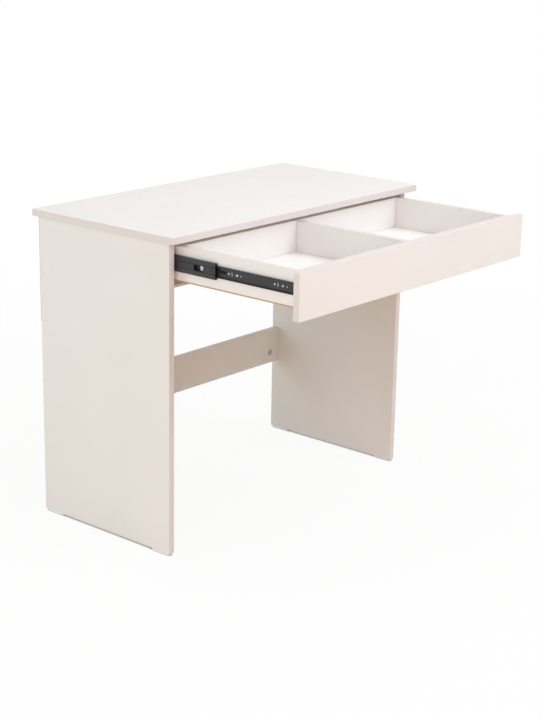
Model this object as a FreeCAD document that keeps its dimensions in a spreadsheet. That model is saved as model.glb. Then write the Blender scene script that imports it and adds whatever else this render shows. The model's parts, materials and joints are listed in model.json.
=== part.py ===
import FreeCAD, Part
import math
import os
import re
import Sketcher

# A free-standing desk: a flat top on two side panels, tied by a thin back sheet and a low stretcher.
# One wide drawer with a divider runs under the top on telescopic ball slides, drawn here open.
# X runs across the desk, Y from front to back and Z up, in millimetres.
# The origin lies on the floor, under the middle of the open desk's footprint.

# Driving sizes
DRIVING = {
    # Whole desk
    "overall_height": 750,
    "top_width": 900,
    "top_depth": 450,
    "top_thick": 16,
    "top_corner": 4,
    "side_overhang": 17,
    "front_overhang": 26,
    "back_overhang": 6,
    # Side panels and stretcher
    "panel_thick": 16,
    "rail_thick": 16,
    "rail_inset": 5,
    "stretcher_lift": 202,
    "stretcher_height": 95,
    # Back sheet on the panels' back edges, its nails, and the trim along its lower edge
    "sheet_thick": 3,
    "sheet_height": 254,
    "sheet_inset": 2,
    "sheet_gap": 1,
    "sheet_nail_dia": 1.6,
    "sheet_nail_length": 20,
    "sheet_nail_head_dia": 4,
    "sheet_nail_head": 0.8,
    "sheet_nail_inset": 25,
    "trim_height": 7.5,
    "trim_wall": 1,
    "trim_gap": 1,
    # Glide feet and their nails
    "foot_height": 5,
    "foot_length": 56,
    "foot_width": 14,
    "foot_corner": 6.5,
    "foot_bevel": 1,
    "foot_inset": 4,
    "foot_nail_dia": 2.5,
    "foot_nail_length": 16,
    "foot_nail_head_dia": 5,
    "foot_nail_head": 1,
    "foot_nail_sink": 2.5,
    "foot_nail_space": 30,
    # Drawer boards
    "drawer_front_width": 848,
    "drawer_front_height": 104,
    "drawer_front_thick": 16,
    "drawer_front_gap": 9,
    "drawer_board": 16,
    "drawer_side_height": 76,
    "drawer_side_drop": 3,
    "divider_drop": 2,
    "drawer_bottom_thick": 3,
    "drawer_back_gap": 36,
    "drawer_back_inset": 12,
    "closed_gap": 1,
    # Slides, measured across from the side panel's inner face
    "slide_space": 12.7,
    "slide_top_drop": 26.5,
    "slide_setback": 13,
    "slide_back_gap": 34,
    "slide_travel_left": 10,
    "slide_height": 45,
    "slide_sheet": 1.2,
    "slide_lip": 2.4,
    "slide_run": 0.4,
    "cabinet_gap": 2.8,
    "bumper_depth": 12,
    "bumper_height": 36,
    "bumper_gap": 1,
    "middle_share": 0.38,
    "middle_height": 35.5,
    "middle_sheet": 1,
    "middle_bead": 1,
    "middle_bead_width": 2.4,
    "middle_bead_space": 14,
    "middle_gap": 1.5,
    "middle_slot_setback": 47,
    "middle_slot_length": 31,
    "middle_slot_height": 13,
    "middle_hole_setback": 29,
    "middle_hole_dia": 4,
    "middle_dimple_setback": 11,
    "middle_dimple_step": 4,
    "middle_dimple_space": 14,
    "middle_dimple_dia": 3,
    "drawer_member_height": 26,
    "drawer_member_sheet": 1.2,
    # Ball cages
    "cage_sheet": 0.6,
    "ball_clearance": 0.3,
    "outer_cage_setback": 76,
    "outer_cage_length": 185,
    "inner_cage_setback": 105,
    "inner_cage_length": 130,
    "cage_window_height": 16,
    "cage_window_inset": 24,
    "ball_inset": 20,
    # Holes along the slides; the window is measured from the member's back end
    "hole_first": 29,
    "hole_last": 54,
    "oblong_length": 7,
    "pilot_ahead": 11,
    "pilot_dia": 3.5,
    "slot_behind": 14,
    "slot_width": 3,
    "slot_height": 8,
    "guide_behind": 23,
    "guide_dia": 5,
    "window_setback": 80,
    "window_width": 9,
    "window_height": 12.5,
    "cabinet_screw_first": 35,
    "cabinet_screw_last": 59,
    # Slide screws
    "screw_dia": 3.5,
    "screw_hole": 4.2,
    "screw_grip": 13,
    "screw_head_dia": 7,
    "slide_head": 1,
    "drawer_head": 1.8,
    "recess_length": 4,
    "recess_width": 0.8,
    "recess_depth": 0.6,
    # Release levers, measured from the member's back end, and their rivets
    "lever_setback": 111,
    "lever_gap": 0.3,
    "lever_nose": 38,
    "lever_neck": 20,
    "lever_tail": 14,
    "lever_nose_height": 3,
    "lever_neck_height": 8,
    "lever_eye_height": 11,
    "rivet_dia": 4,
    "rivet_head_dia": 6.5,
    "rivet_head": 0.8,
    # Dowels, cam fittings and board screws
    "dowel_dia": 8,
    "dowel_length": 30,
    "dowel_in_face": 10,
    "rail_cam_dia": 15,
    "rail_cam_depth": 12.5,
    "rail_cam_reach": 35,
    "small_cam_dia": 12,
    "small_cam_depth": 11,
    "small_cam_reach": 18,
    "bolt_dia": 6,
    "bolt_bore_dia": 7,
    "cam_throat_dia": 6.4,
    "bolt_thread_dia": 5,
    "bolt_thread_length": 11,
    "cap_dia": 17,
    "cap_thick": 0.8,
    "board_screw_dia": 5,
    "board_screw_length": 46,
    "front_screw_length": 28,
    "side_screw_space": 16,
    "board_screw_head_dia": 9,
    "board_screw_head": 3,
    "bottom_nail_dia": 1.6,
    "bottom_nail_length": 16,
    "bottom_nail_head_dia": 4,
    "bottom_nail_head": 0.8,
    "bottom_nail_inset": 30,
    "end_gap": 1,
    "fit_clearance": 0.05,
    "cam_clearance": 0.1,
    "overrun": 1,
    # Places of the fittings
    "top_cam_inset": 49,
    "top_cam_back": 18,
    "top_dowel_inset": 30,
    "top_dowel_back": 48,
    "stretcher_cam_lift": 29,
    "stretcher_dowel_lift": 66,
    "drawer_low_fitting": 20,
    "drawer_high_fitting": 57,
}

# Sizes worked out from the driving ones
DERIVED = {
    "panel_inner": "=top_width / 2 - side_overhang - panel_thick",
    "panel_mid": "=panel_inner + panel_thick / 2",
    "panel_depth": "=top_depth - front_overhang - back_overhang",
    "slide_length": "=panel_depth - rail_inset - rail_thick - slide_back_gap - slide_setback",
    "drawer_open": "=slide_length - slide_travel_left",
    "plan_depth": "=top_depth - front_overhang + closed_gap + drawer_open + drawer_front_thick",
    "top_back_y": "=plan_depth / 2",
    "top_front_y": "=top_back_y - top_depth",
    "top_under_z": "=overall_height - top_thick",
    "panel_front_y": "=top_front_y + front_overhang",
    "panel_back_y": "=panel_front_y + panel_depth",
    "rail_front_y": "=panel_back_y - rail_inset - rail_thick",
    "rail_mid_y": "=rail_front_y + rail_thick / 2",
    "sheet_half": "=panel_inner + panel_thick - sheet_inset",
    "sheet_back_y": "=panel_back_y + sheet_thick",
    "sheet_low_z": "=top_under_z - sheet_gap - sheet_height",
    "front_back_y": "=panel_front_y - closed_gap - drawer_open",
    "front_top_z": "=top_under_z - drawer_front_gap",
    "front_low_z": "=front_top_z - drawer_front_height",
    "box_top_z": "=front_top_z - drawer_side_drop",
    "side_low_z": "=box_top_z - drawer_side_height",
    "bottom_low_z": "=side_low_z - drawer_bottom_thick",
    "box_half": "=panel_inner - slide_space",
    "box_inner": "=box_half - drawer_board",
    "box_mid": "=box_half - drawer_board / 2",
    "box_depth": "=rail_front_y - drawer_back_gap - panel_front_y + closed_gap",
    "box_back_y": "=front_back_y + box_depth",
    "back_face_y": "=box_back_y - drawer_back_inset",
    "back_mid_y": "=back_face_y - drawer_board / 2",
    "inner_front_y": "=front_back_y + drawer_board",
    "inner_mid_y": "=front_back_y + drawer_board / 2",
    "slide_z": "=top_under_z - slide_top_drop - slide_height / 2",
    "slide_front_y": "=panel_front_y + slide_setback",
    "member_length": "=slide_length - bumper_depth - bumper_gap",
    "middle_front_y": "=slide_front_y - drawer_open * middle_share",
    "member_front_y": "=slide_front_y - drawer_open",
    "outer_cage_y": "=slide_front_y + outer_cage_setback - drawer_open * middle_share / 2",
    "inner_cage_y": "=slide_front_y + inner_cage_setback - drawer_open * (1 + middle_share) / 2",
    "outer_cage_u": "=slide_sheet + slide_head + slide_run",
    "middle_u": "=outer_cage_u + cage_sheet + slide_run",
    "inner_cage_u": "=middle_u + middle_sheet + middle_bead + slide_run",
    "drawer_flange_u": "=inner_cage_u + cage_sheet + slide_run",
    "drawer_web_u": "=slide_space - drawer_member_sheet",
    "cabinet_reach": "=slide_space - cabinet_gap",
    "outer_cage_reach": "=cabinet_reach - slide_sheet - slide_run",
    "middle_reach": "=slide_space - middle_gap",
    "outer_ball_u": "=(outer_cage_u + cage_sheet + outer_cage_reach) / 2",
    "inner_ball_u": "=(inner_cage_u + cage_sheet + middle_reach) / 2",
    "outer_ball_gap": "=(slide_height - middle_height) / 2 - slide_sheet",
    "inner_ball_gap": "=(middle_height - drawer_member_height) / 2 - middle_sheet",
    "outer_ball_dia": "=outer_ball_gap - 2 * ball_clearance",
    "inner_ball_dia": "=inner_ball_gap - 2 * ball_clearance",
    "outer_ball_z": "=(middle_height + outer_ball_gap) / 2",
    "inner_ball_z": "=(drawer_member_height + inner_ball_gap) / 2",
    "hole_pitch": "=(member_length - hole_first - hole_last) / 2",
    "cabinet_screw_pitch": "=(slide_length - cabinet_screw_first - cabinet_screw_last) / 2",
    "lever_u": "=drawer_flange_u + rivet_head + lever_gap",
    "lever_thick": "=drawer_web_u - lever_gap - lever_u",
    "lever_y": "=member_front_y + member_length - lever_setback",
}

# Counts
OUTER_BALLS = 9
INNER_BALLS = 7
SIDE_NAILS = 4
BACK_NAILS = 3
SHEET_NAILS = 4
# Places of the screws behind the drawer's front, from its middle to a side
FRONT_SCREW_SHARES = (0.25, 0.75)
SCREW_PLACES = 3

doc = FreeCAD.newDocument("desk_with_drawer")
sheet = doc.addObject("Spreadsheet::Sheet", "Sizes")
for row, (alias, entry) in enumerate({**DRIVING, **DERIVED}.items(), start=1):
    sheet.set(f"A{row}", alias)
    sheet.set(f"B{row}", str(entry))
    sheet.setAlias(f"B{row}", alias)
doc.recompute()

NODES = []

# A direction is written as its sign and the letter of its axis, and turns an upright piece that way
AXES = "xyz"
TURNS = {
    "+x": FreeCAD.Rotation(FreeCAD.Vector(0, 1, 0), 90),
    "-x": FreeCAD.Rotation(FreeCAD.Vector(0, 1, 0), -90),
    "+y": FreeCAD.Rotation(FreeCAD.Vector(1, 0, 0), -90),
    "-y": FreeCAD.Rotation(FreeCAD.Vector(1, 0, 0), 90),
    "+z": FreeCAD.Rotation(),
    "-z": FreeCAD.Rotation(FreeCAD.Vector(1, 0, 0), 180),
}
# Each side of the desk: the sign of its X, and the direction from its panel to the middle
SIDES = {"left": ("-", "+x"), "right": ("", "-x")}


def bind(thing, path, formula):
    """Ties a property to the sheet; every word in the formula is one of its aliases."""
    thing.setExpression(path, re.sub(r"[a-z_]+", r"Sizes.\g<0>", formula))


def place(thing, point):
    for axis, formula in zip("xyz", point):
        bind(thing, f"Placement.Base.{axis}", formula)


def backward(way):
    """The opposite direction."""
    sign, axis = way
    return f"{'-' if sign == '+' else '+'}{axis}"


def step(point, way, distance):
    """The point moved along a direction."""
    sign, axis = way
    index = AXES.index(axis)
    moved = list(point)
    moved[index] = f"{point[index]} {sign} ({distance})"
    return moved


def node(thing):
    NODES.append(thing)
    return thing


def rod(name, start, way, dia, length):
    """A round bar that runs from a point along a direction."""
    bar = doc.addObject("Part::Cylinder", name)
    bind(bar, "Radius", f"({dia}) / 2")
    bind(bar, "Height", length)
    bar.Placement = FreeCAD.Placement(FreeCAD.Vector(), TURNS[way])
    place(bar, start)
    return bar


def block(name, corner, lengths):
    """A box from its low corner."""
    box = doc.addObject("Part::Box", name)
    for prop, formula in zip(("Length", "Width", "Height"), lengths):
        bind(box, prop, formula)
    place(box, corner)
    return box


def slab(name, start, way, length, widths):
    """A box that runs from a point along a direction, centred on the other two axes."""
    sign, letter = way
    index = AXES.index(letter)
    corner = list(start)
    lengths = list(widths)
    lengths.insert(index, length)
    for axis, length_there in enumerate(lengths):
        if axis != index:
            corner[axis] = f"{start[axis]} - ({length_there}) / 2"
    if sign == "-":
        corner[index] = f"{start[index]} - ({length})"
    return block(name, corner, lengths)


def fuse(name, shapes):
    joined = doc.addObject("Part::MultiFuse", name)
    joined.Shapes = shapes
    return joined


def cut(name, base, tools):
    pared = doc.addObject("Part::Cut", name)
    pared.Base = base
    pared.Tool = tools[0] if len(tools) == 1 else fuse(f"{name}_cuts", tools)
    return pared


def group(name, shapes):
    """Separate solids that share one node."""
    family = doc.addObject("Part::Compound", name)
    family.Links = shapes
    return node(family)


def origin_plane(body, role):
    return next(plane for plane in body.Origin.OriginFeatures if plane.Role == role)


def new_sketch(body, name, role):
    sketch = body.newObject("Sketcher::SketchObject", name)
    sketch.AttachmentSupport = [(origin_plane(body, role), "")]
    sketch.MapMode = "FlatFace"
    return sketch


def pin_point(sketch, geometry, corner, formulas, guess):
    """Ties one point of the sketch to its two coordinates."""
    for kind, formula, value in zip(("DistanceX", "DistanceY"), formulas, guess):
        index = sketch.addConstraint(Sketcher.Constraint(kind, -1, 1, geometry, corner, value))
        bind(sketch, f"Constraints[{index}]", formula)


def draw_outline(sketch, points):
    """A closed outline of straight lines, drawn from a ring of first guesses."""
    count = len(points)
    first = sketch.GeometryCount
    turns = [2 * math.pi * index / count for index in range(count)]
    ring = [FreeCAD.Vector(math.cos(turn), math.sin(turn), 0) for turn in turns]
    for index in range(count):
        sketch.addGeometry(Part.LineSegment(ring[index], ring[(index + 1) % count]), False)
    for index in range(count):
        after = first + (index + 1) % count
        sketch.addConstraint(Sketcher.Constraint("Coincident", first + index, 2, after, 1))
    for index, formulas in enumerate(points):
        pin_point(sketch, first + index, 1, formulas, (ring[index].x, ring[index].y))


def draw_circle(sketch, centre, dia):
    start = FreeCAD.Vector(1, 1, 0)
    index = sketch.addGeometry(Part.Circle(start, FreeCAD.Vector(0, 0, 1), 1), False)
    radius = sketch.addConstraint(Sketcher.Constraint("Radius", index, 1))
    bind(sketch, f"Constraints[{radius}]", f"({dia}) / 2")
    pin_point(sketch, index, 3, centre, (start.x, start.y))


def rectangle(centre, width, height):
    """The corners of an upright rectangle about its centre."""
    low = [f"{centre[0]} - ({width}) / 2", f"{centre[1]} - ({height}) / 2"]
    high = [f"{centre[0]} + ({width}) / 2", f"{centre[1]} + ({height}) / 2"]
    return [low, [high[0], low[1]], high, [low[0], high[1]]]


def padded(name, role, points, length, away):
    """A body made of one outline drawn out by a length, along or against its plane's normal."""
    body = doc.addObject("PartDesign::Body", name)
    sketch = new_sketch(body, f"{name}_outline", role)
    draw_outline(sketch, points)
    pad = body.newObject("PartDesign::Pad", f"{name}_pad")
    pad.Profile = sketch
    pad.Reversed = away
    bind(pad, "Length", length)
    return body


def pierced(body, role, circles, outlines):
    """Cuts round holes and straight-sided ones right through a body, along a plane's normal."""
    doc.recompute()
    before = body.Shape.Volume
    sketch = new_sketch(body, f"{body.Name}_holes_{role}", role)
    for centre, dia in circles:
        draw_circle(sketch, centre, dia)
    for points in outlines:
        draw_outline(sketch, points)
    pocket = body.newObject("PartDesign::Pocket", f"{body.Name}_pocket_{role}")
    pocket.Profile = sketch
    pocket.Type = "ThroughAll"
    pocket.SideType = "Symmetric"
    doc.recompute()
    if body.Shape.Volume >= before:
        raise RuntimeError(f"{body.Name}: the holes cut nothing")


def ends_of(edge):
    return [vertex.Point for vertex in edge.Vertexes]


def upright_edges(body):
    """Names of the edges whose two ends lie one above the other."""
    names = []
    for index, edge in enumerate(body.Shape.Edges, start=1):
        ends = ends_of(edge)
        drift = ends[0] - ends[-1]
        if math.hypot(drift.x, drift.y) < Part.Precision.confusion():
            names.append(f"Edge{index}")
    return names


def ground_edges(body):
    """Names of the edges that lie in the body's own base plane."""
    names = []
    for index, edge in enumerate(body.Shape.Edges, start=1):
        if max(abs(end.z) for end in ends_of(edge)) < Part.Precision.confusion():
            names.append(f"Edge{index}")
    return names


def bend_edges(body, distances):
    """Names of a channel's outermost long edges, at some distances from the panel's inner face."""
    names = []
    spots = [sheet.get(alias) if alias != "0" else 0 for alias in distances]
    outermost = body.Shape.BoundBox.ZMax
    for index, edge in enumerate(body.Shape.Edges, start=1):
        ends = ends_of(edge)
        drift = ends[0] - ends[-1]
        along = math.hypot(drift.x, drift.z) < Part.Precision.confusion()
        outer = abs(abs(ends[0].z) - outermost) < Part.Precision.confusion()
        near = min(abs(abs(ends[0].x) - spot) for spot in spots) < Part.Precision.confusion()
        if along and outer and near:
            names.append(f"Edge{index}")
    return names


def dress(body, kind, name, edges, path, formula):
    """Rounds or bevels some of a body's edges."""
    base = body.Tip
    feature = body.newObject(f"PartDesign::{kind}", name)
    feature.Base = (base, edges)
    bind(feature, path, formula)
    doc.recompute()


# Fittings: each returns its own solids and the bores that it needs in the boards


def dowel_joint(name, face, into, depth):
    """A dowel across the plane where two boards meet, sunk to a depth into the second one."""
    back = backward(into)
    inner = f"dowel_length - ({depth})"
    bore = "dowel_dia + 2 * fit_clearance"
    dowel = rod(name, step(face, back, inner), into, "dowel_dia", "dowel_length")
    near = rod(f"{name}_near", face, back, bore, f"{inner} + end_gap")
    far = rod(f"{name}_far", face, into, bore, f"{depth} + end_gap")
    return dowel, near, far


def cam_joint(name, face, into, sink, size, bolt_depth):
    """A cam in one board pulls on a bolt that is screwed into the other board."""
    back = backward(into)
    dia, depth, reach = f"{size}_cam_dia", f"{size}_cam_depth", f"{size}_cam_reach"
    thread = rod(f"{name}_thread", face, into, "bolt_thread_dia", "bolt_thread_length")
    shaft = rod(f"{name}_shaft", face, back, "bolt_dia", reach)
    bolt = fuse(f"{name}_bolt", [thread, shaft])
    crossing = step(face, back, reach)
    mouth = step(crossing, backward(sink), bolt_depth)
    disc = rod(f"{name}_disc", mouth, sink, dia, f"{depth} - end_gap")
    heart = step(crossing, back, "end_gap")
    throat = rod(f"{name}_throat", heart, into, "cam_throat_dia", f"end_gap + {dia} / 2 + overrun")
    cam = cut(f"{name}_cam", disc, [throat])
    housing = rod(f"{name}_housing", mouth, sink, f"{dia} + 2 * cam_clearance", depth)
    channel = rod(f"{name}_channel", face, back, "bolt_bore_dia", reach)
    tapping = "bolt_thread_dia + 2 * fit_clearance"
    pilot = rod(f"{name}_pilot", face, into, tapping, "bolt_thread_length + end_gap")
    return bolt, cam, [housing, channel], pilot, mouth


def board_screw(name, head, into, thick, length):
    """A screw through one board into another, its head flush with the first."""
    shank = rod(f"{name}_shank", head, into, "board_screw_dia", length)
    cap = rod(f"{name}_cap", head, into, "board_screw_head_dia", "board_screw_head")
    screw = fuse(name, [shank, cap])
    bore = "board_screw_dia + 2 * fit_clearance"
    seat = rod(f"{name}_seat", head, into, "board_screw_head_dia + 2 * fit_clearance", "board_screw_head")
    near = rod(f"{name}_near", head, into, bore, thick)
    rest = f"{length} - {thick} + end_gap"
    far = rod(f"{name}_far", step(head, into, thick), into, bore, rest)
    return screw, [seat, near], far


def slide_screw(name, seat, into, head, sheet_thick):
    """A cross-headed screw that holds a slide member's web against a board."""
    back = backward(into)
    shank = rod(f"{name}_shank", seat, into, "screw_dia", f"{sheet_thick} + screw_grip")
    cap = rod(f"{name}_cap", seat, back, "screw_head_dia", head)
    solid = fuse(f"{name}_solid", [shank, cap])
    face = step(seat, back, head)
    tall = slab(f"{name}_tall", face, into, "recess_depth", ("recess_width", "recess_length"))
    broad = slab(f"{name}_broad", face, into, "recess_depth", ("recess_length", "recess_width"))
    screw = cut(name, solid, [tall, broad])
    bore = "screw_dia + 2 * fit_clearance"
    pilot = rod(f"{name}_pilot", step(seat, into, sheet_thick), into, bore, "screw_grip + end_gap")
    return screw, pilot


def nail(name, head, way, kind):
    """A nail driven in some direction, from the outside of its head."""
    shank = rod(f"{name}_shank", head, way, f"{kind}_dia", f"{kind}_length")
    cap = rod(f"{name}_cap", head, way, f"{kind}_head_dia", f"{kind}_head")
    return fuse(name, [shank, cap])


# Bores that each board collects from its fittings
BOARDS = ("top_panel", "left_side_panel", "right_side_panel", "back_sheet", "stretcher", "drawer_front",
          "drawer_inner_front", "drawer_left_side", "drawer_right_side", "drawer_back", "drawer_divider",
          "drawer_bottom")
BORES = {name: [] for name in BOARDS}


def side_x(side, distance):
    """The X of something at a distance from the desk's middle plane."""
    return f"{SIDES[side][0]}({distance})"


def top_fittings():
    """Dowels and cams between the top and the side panels."""
    dowels, bolts, cams = [], [], []
    for side in SIDES:
        panel = f"{side}_side_panel"
        outward = backward(SIDES[side][1])
        cam_ys = {"front": "panel_front_y + top_cam_inset", "back": "rail_front_y - top_cam_back"}
        for end, y in cam_ys.items():
            face = [side_x(side, "panel_mid"), y, "top_under_z"]
            name = f"top_{side}_{end}"
            bolt, cam, bores, pilot, _ = cam_joint(name, face, "+z", outward, "small", "panel_thick / 2")
            bolts.append(bolt)
            cams.append(cam)
            BORES[panel] += bores
            BORES["top_panel"].append(pilot)
        dowel_ys = {"front": "panel_front_y + top_dowel_inset", "back": "rail_front_y - top_dowel_back"}
        for end, y in dowel_ys.items():
            face = [side_x(side, "panel_mid"), y, "top_under_z"]
            dowel, near, far = dowel_joint(f"top_dowel_{side}_{end}", face, "+z", "dowel_in_face")
            dowels.append(dowel)
            BORES[panel].append(near)
            BORES["top_panel"].append(far)
    group("top_cams", cams)
    group("top_cam_bolts", bolts)
    return dowels


def rail_fittings(dowels):
    """Dowels, cams and cover caps at both ends of the stretcher."""
    bolts, cams, caps = [], [], []
    for side in SIDES:
        panel = f"{side}_side_panel"
        outward = backward(SIDES[side][1])
        name = f"stretcher_{side}"
        face = [side_x(side, "panel_inner"), "rail_mid_y", "stretcher_lift + stretcher_cam_lift"]
        bolt, cam, bores, pilot, mouth = cam_joint(name, face, outward, "+y", "rail", "rail_thick / 2")
        bolts.append(bolt)
        cams.append(cam)
        caps.append(rod(f"{name}_cover", mouth, "-y", "cap_dia", "cap_thick"))
        BORES["stretcher"] += bores
        BORES[panel].append(pilot)
        face = [side_x(side, "panel_inner"), "rail_mid_y", "stretcher_lift + stretcher_dowel_lift"]
        dowel, near, far = dowel_joint(f"stretcher_dowel_{side}", face, outward, "dowel_in_face")
        dowels.append(dowel)
        BORES["stretcher"].append(near)
        BORES[panel].append(far)
    group("rail_cams", cams)
    group("rail_cam_bolts", bolts)
    group("cam_caps", caps)
    group("frame_dowels", dowels)


def drawer_fittings():
    """Cams and dowels at the box's front corners, screws at its back, and screws that hold the front."""
    bolts, cams, dowels, screws = [], [], [], []
    low = "side_low_z + drawer_low_fitting"
    high = "side_low_z + drawer_high_fitting"
    mid = "side_low_z + drawer_side_height / 2"
    for side, (_, inward) in SIDES.items():
        board = f"drawer_{side}_side"
        outward = backward(inward)
        face = [side_x(side, "box_inner"), "inner_mid_y", low]
        fitting = cam_joint(f"front_{side}", face, outward, "-y", "small", "drawer_board / 2")
        bolt, cam, bores, pilot, _ = fitting
        bolts.append(bolt)
        cams.append(cam)
        BORES["drawer_inner_front"] += bores
        BORES[board].append(pilot)
        face = [side_x(side, "box_inner"), "inner_mid_y", high]
        dowel, near, far = dowel_joint(f"front_dowel_{side}", face, outward, "dowel_in_face")
        dowels.append(dowel)
        BORES["drawer_inner_front"].append(near)
        BORES[board].append(far)
        for index, sign in enumerate("-+"):
            head = [side_x(side, "box_half"), "back_mid_y", f"slide_z {sign} side_screw_space / 2"]
            title = f"side_screw_{side}_{index}"
            screw, bores, far = board_screw(title, head, inward, "drawer_board", "board_screw_length")
            screws.append(screw)
            BORES[board] += bores
            BORES["drawer_back"].append(far)
        for index, share in enumerate(FRONT_SCREW_SHARES):
            head = [side_x(side, f"box_inner * {share}"), "inner_front_y", mid]
            title = f"front_screw_{side}_{index}"
            screw, bores, far = board_screw(title, head, "-y", "drawer_board", "front_screw_length")
            screws.append(screw)
            BORES["drawer_inner_front"] += bores
            BORES["drawer_front"].append(far)
    for index, z in enumerate((low, high)):
        face = ["0", "inner_front_y", z]
        dowel, near, far = dowel_joint(f"divider_dowel_{index}", face, "-y", "dowel_in_face")
        dowels.append(dowel)
        BORES["drawer_divider"].append(near)
        BORES["drawer_inner_front"].append(far)
        head = ["0", "back_face_y", z]
        title = f"divider_screw_{index}"
        screw, bores, far = board_screw(title, head, "-y", "drawer_board", "board_screw_length")
        screws.append(screw)
        BORES["drawer_back"] += bores
        BORES["drawer_divider"].append(far)
    group("drawer_cams", cams)
    group("drawer_cam_bolts", bolts)
    group("drawer_dowels", dowels)
    group("drawer_screws", screws)


def bottom_nails():
    """Nails up through the drawer's bottom into the boards that stand on it."""
    places = []
    rows = {"drawer_left_side": "-box_mid", "drawer_divider": "0", "drawer_right_side": "box_mid"}
    pitch = f"(box_depth - 2 * bottom_nail_inset) / {SIDE_NAILS - 1}"
    for index in range(SIDE_NAILS):
        y = f"front_back_y + bottom_nail_inset + {index} * {pitch}"
        for board, x in rows.items():
            if board != "drawer_divider" or index < SIDE_NAILS - 1:
                places.append((board, x, y))
    for side in SIDES:
        for index in range(1, BACK_NAILS + 1):
            x = side_x(side, f"box_inner * {index} / {BACK_NAILS + 1}")
            places.append(("drawer_back", x, "back_mid_y"))
            places.append(("drawer_inner_front", x, "inner_mid_y"))
    nails = []
    for index, (board, x, y) in enumerate(places):
        head = [x, y, "bottom_low_z - bottom_nail_head"]
        name = f"bottom_nail_{index}"
        nails.append(nail(name, head, "+z", "bottom_nail"))
        bore = "bottom_nail_dia + 2 * fit_clearance"
        start = [x, y, "bottom_low_z"]
        BORES["drawer_bottom"].append(rod(f"{name}_sheet", start, "+z", bore, "drawer_bottom_thick"))
        BORES[board].append(rod(f"{name}_board", start, "+z", bore, "bottom_nail_length"))
    group("bottom_nails", nails)


def board(name, corner, lengths):
    blank = block(f"{name}_blank", corner, lengths)
    node(cut(name, blank, BORES[name]))


def top_panel():
    """The top, its plan corners slightly rounded."""
    middle = ["0", "(top_front_y + top_back_y) / 2"]
    points = rectangle(middle, "top_width", "top_depth")
    blank = padded("top_blank", "XY_Plane", points, "top_thick", False)
    doc.recompute()
    dress(blank, "Fillet", "top_corners", upright_edges(blank), "Radius", "top_corner")
    place(blank, ["0", "0", "top_under_z"])
    node(cut("top_panel", blank, BORES["top_panel"]))


def frame_boards():
    size = ["panel_thick", "panel_depth", "top_under_z - foot_height"]
    for side in SIDES:
        low = "-panel_inner - panel_thick" if side == "left" else "panel_inner"
        board(f"{side}_side_panel", [low, "panel_front_y", "foot_height"], size)
    rail_size = ["2 * panel_inner", "rail_thick", "stretcher_height"]
    board("stretcher", ["-panel_inner", "rail_front_y", "stretcher_lift"], rail_size)
    sheet_size = ["2 * sheet_half", "sheet_thick", "sheet_height"]
    board("back_sheet", ["-sheet_half", "panel_back_y", "sheet_low_z"], sheet_size)


def sheet_nails():
    """Nails through the back sheet into the panels' back edges."""
    nails = []
    bore = "sheet_nail_dia + 2 * fit_clearance"
    pitch = f"(sheet_height - 2 * sheet_nail_inset) / {SHEET_NAILS - 1}"
    for side in SIDES:
        for index in range(SHEET_NAILS):
            z = f"sheet_low_z + sheet_nail_inset + {index} * {pitch}"
            face = [side_x(side, "panel_mid"), "sheet_back_y", z]
            name = f"sheet_nail_{side}_{index}"
            nails.append(nail(name, step(face, "+y", "sheet_nail_head"), "-y", "sheet_nail"))
            BORES["back_sheet"].append(rod(f"{name}_sheet", face, "-y", bore, "sheet_thick"))
            grip = rod(f"{name}_panel", face, "-y", bore, "sheet_nail_length")
            BORES[f"{side}_side_panel"].append(grip)
    group("sheet_nails", nails)


def sheet_trim():
    """A trim of U section that is pushed on to the back sheet's lower edge, between the panels."""
    slack = "trim_wall + fit_clearance"
    corner = ["trim_gap - panel_inner", f"panel_back_y - ({slack})", "sheet_low_z - trim_wall"]
    size = ["2 * (panel_inner - trim_gap)", f"sheet_thick + 2 * ({slack})", "trim_height"]
    blank = block("sheet_trim_blank", corner, size)
    groove_corner = ["-panel_inner", "panel_back_y - fit_clearance", "sheet_low_z"]
    groove_size = ["2 * panel_inner", "sheet_thick + 2 * fit_clearance", "trim_height"]
    groove = block("sheet_trim_groove", groove_corner, groove_size)
    node(cut("sheet_trim", blank, [groove]))


def drawer_boards():
    half = "drawer_front_width / 2"
    corner = [f"-{half}", "front_back_y - drawer_front_thick", "front_low_z"]
    board("drawer_front", corner, ["drawer_front_width", "drawer_front_thick", "drawer_front_height"])
    for side in SIDES:
        low = "-box_half" if side == "left" else "box_inner"
        size = ["drawer_board", "box_depth", "drawer_side_height"]
        board(f"drawer_{side}_side", [low, "front_back_y", "side_low_z"], size)
    end_size = ["2 * box_inner", "drawer_board", "drawer_side_height"]
    board("drawer_inner_front", ["-box_inner", "front_back_y", "side_low_z"], end_size)
    board("drawer_back", ["-box_inner", "back_face_y - drawer_board", "side_low_z"], end_size)
    divider_depth = "back_face_y - drawer_board - inner_front_y"
    divider_size = ["drawer_board", divider_depth, "drawer_side_height - divider_drop"]
    board("drawer_divider", ["-drawer_board / 2", "inner_front_y", "side_low_z"], divider_size)
    bottom_size = ["2 * box_half", "box_depth", "drawer_bottom_thick"]
    board("drawer_bottom", ["-box_half", "front_back_y", "bottom_low_z"], bottom_size)


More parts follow.
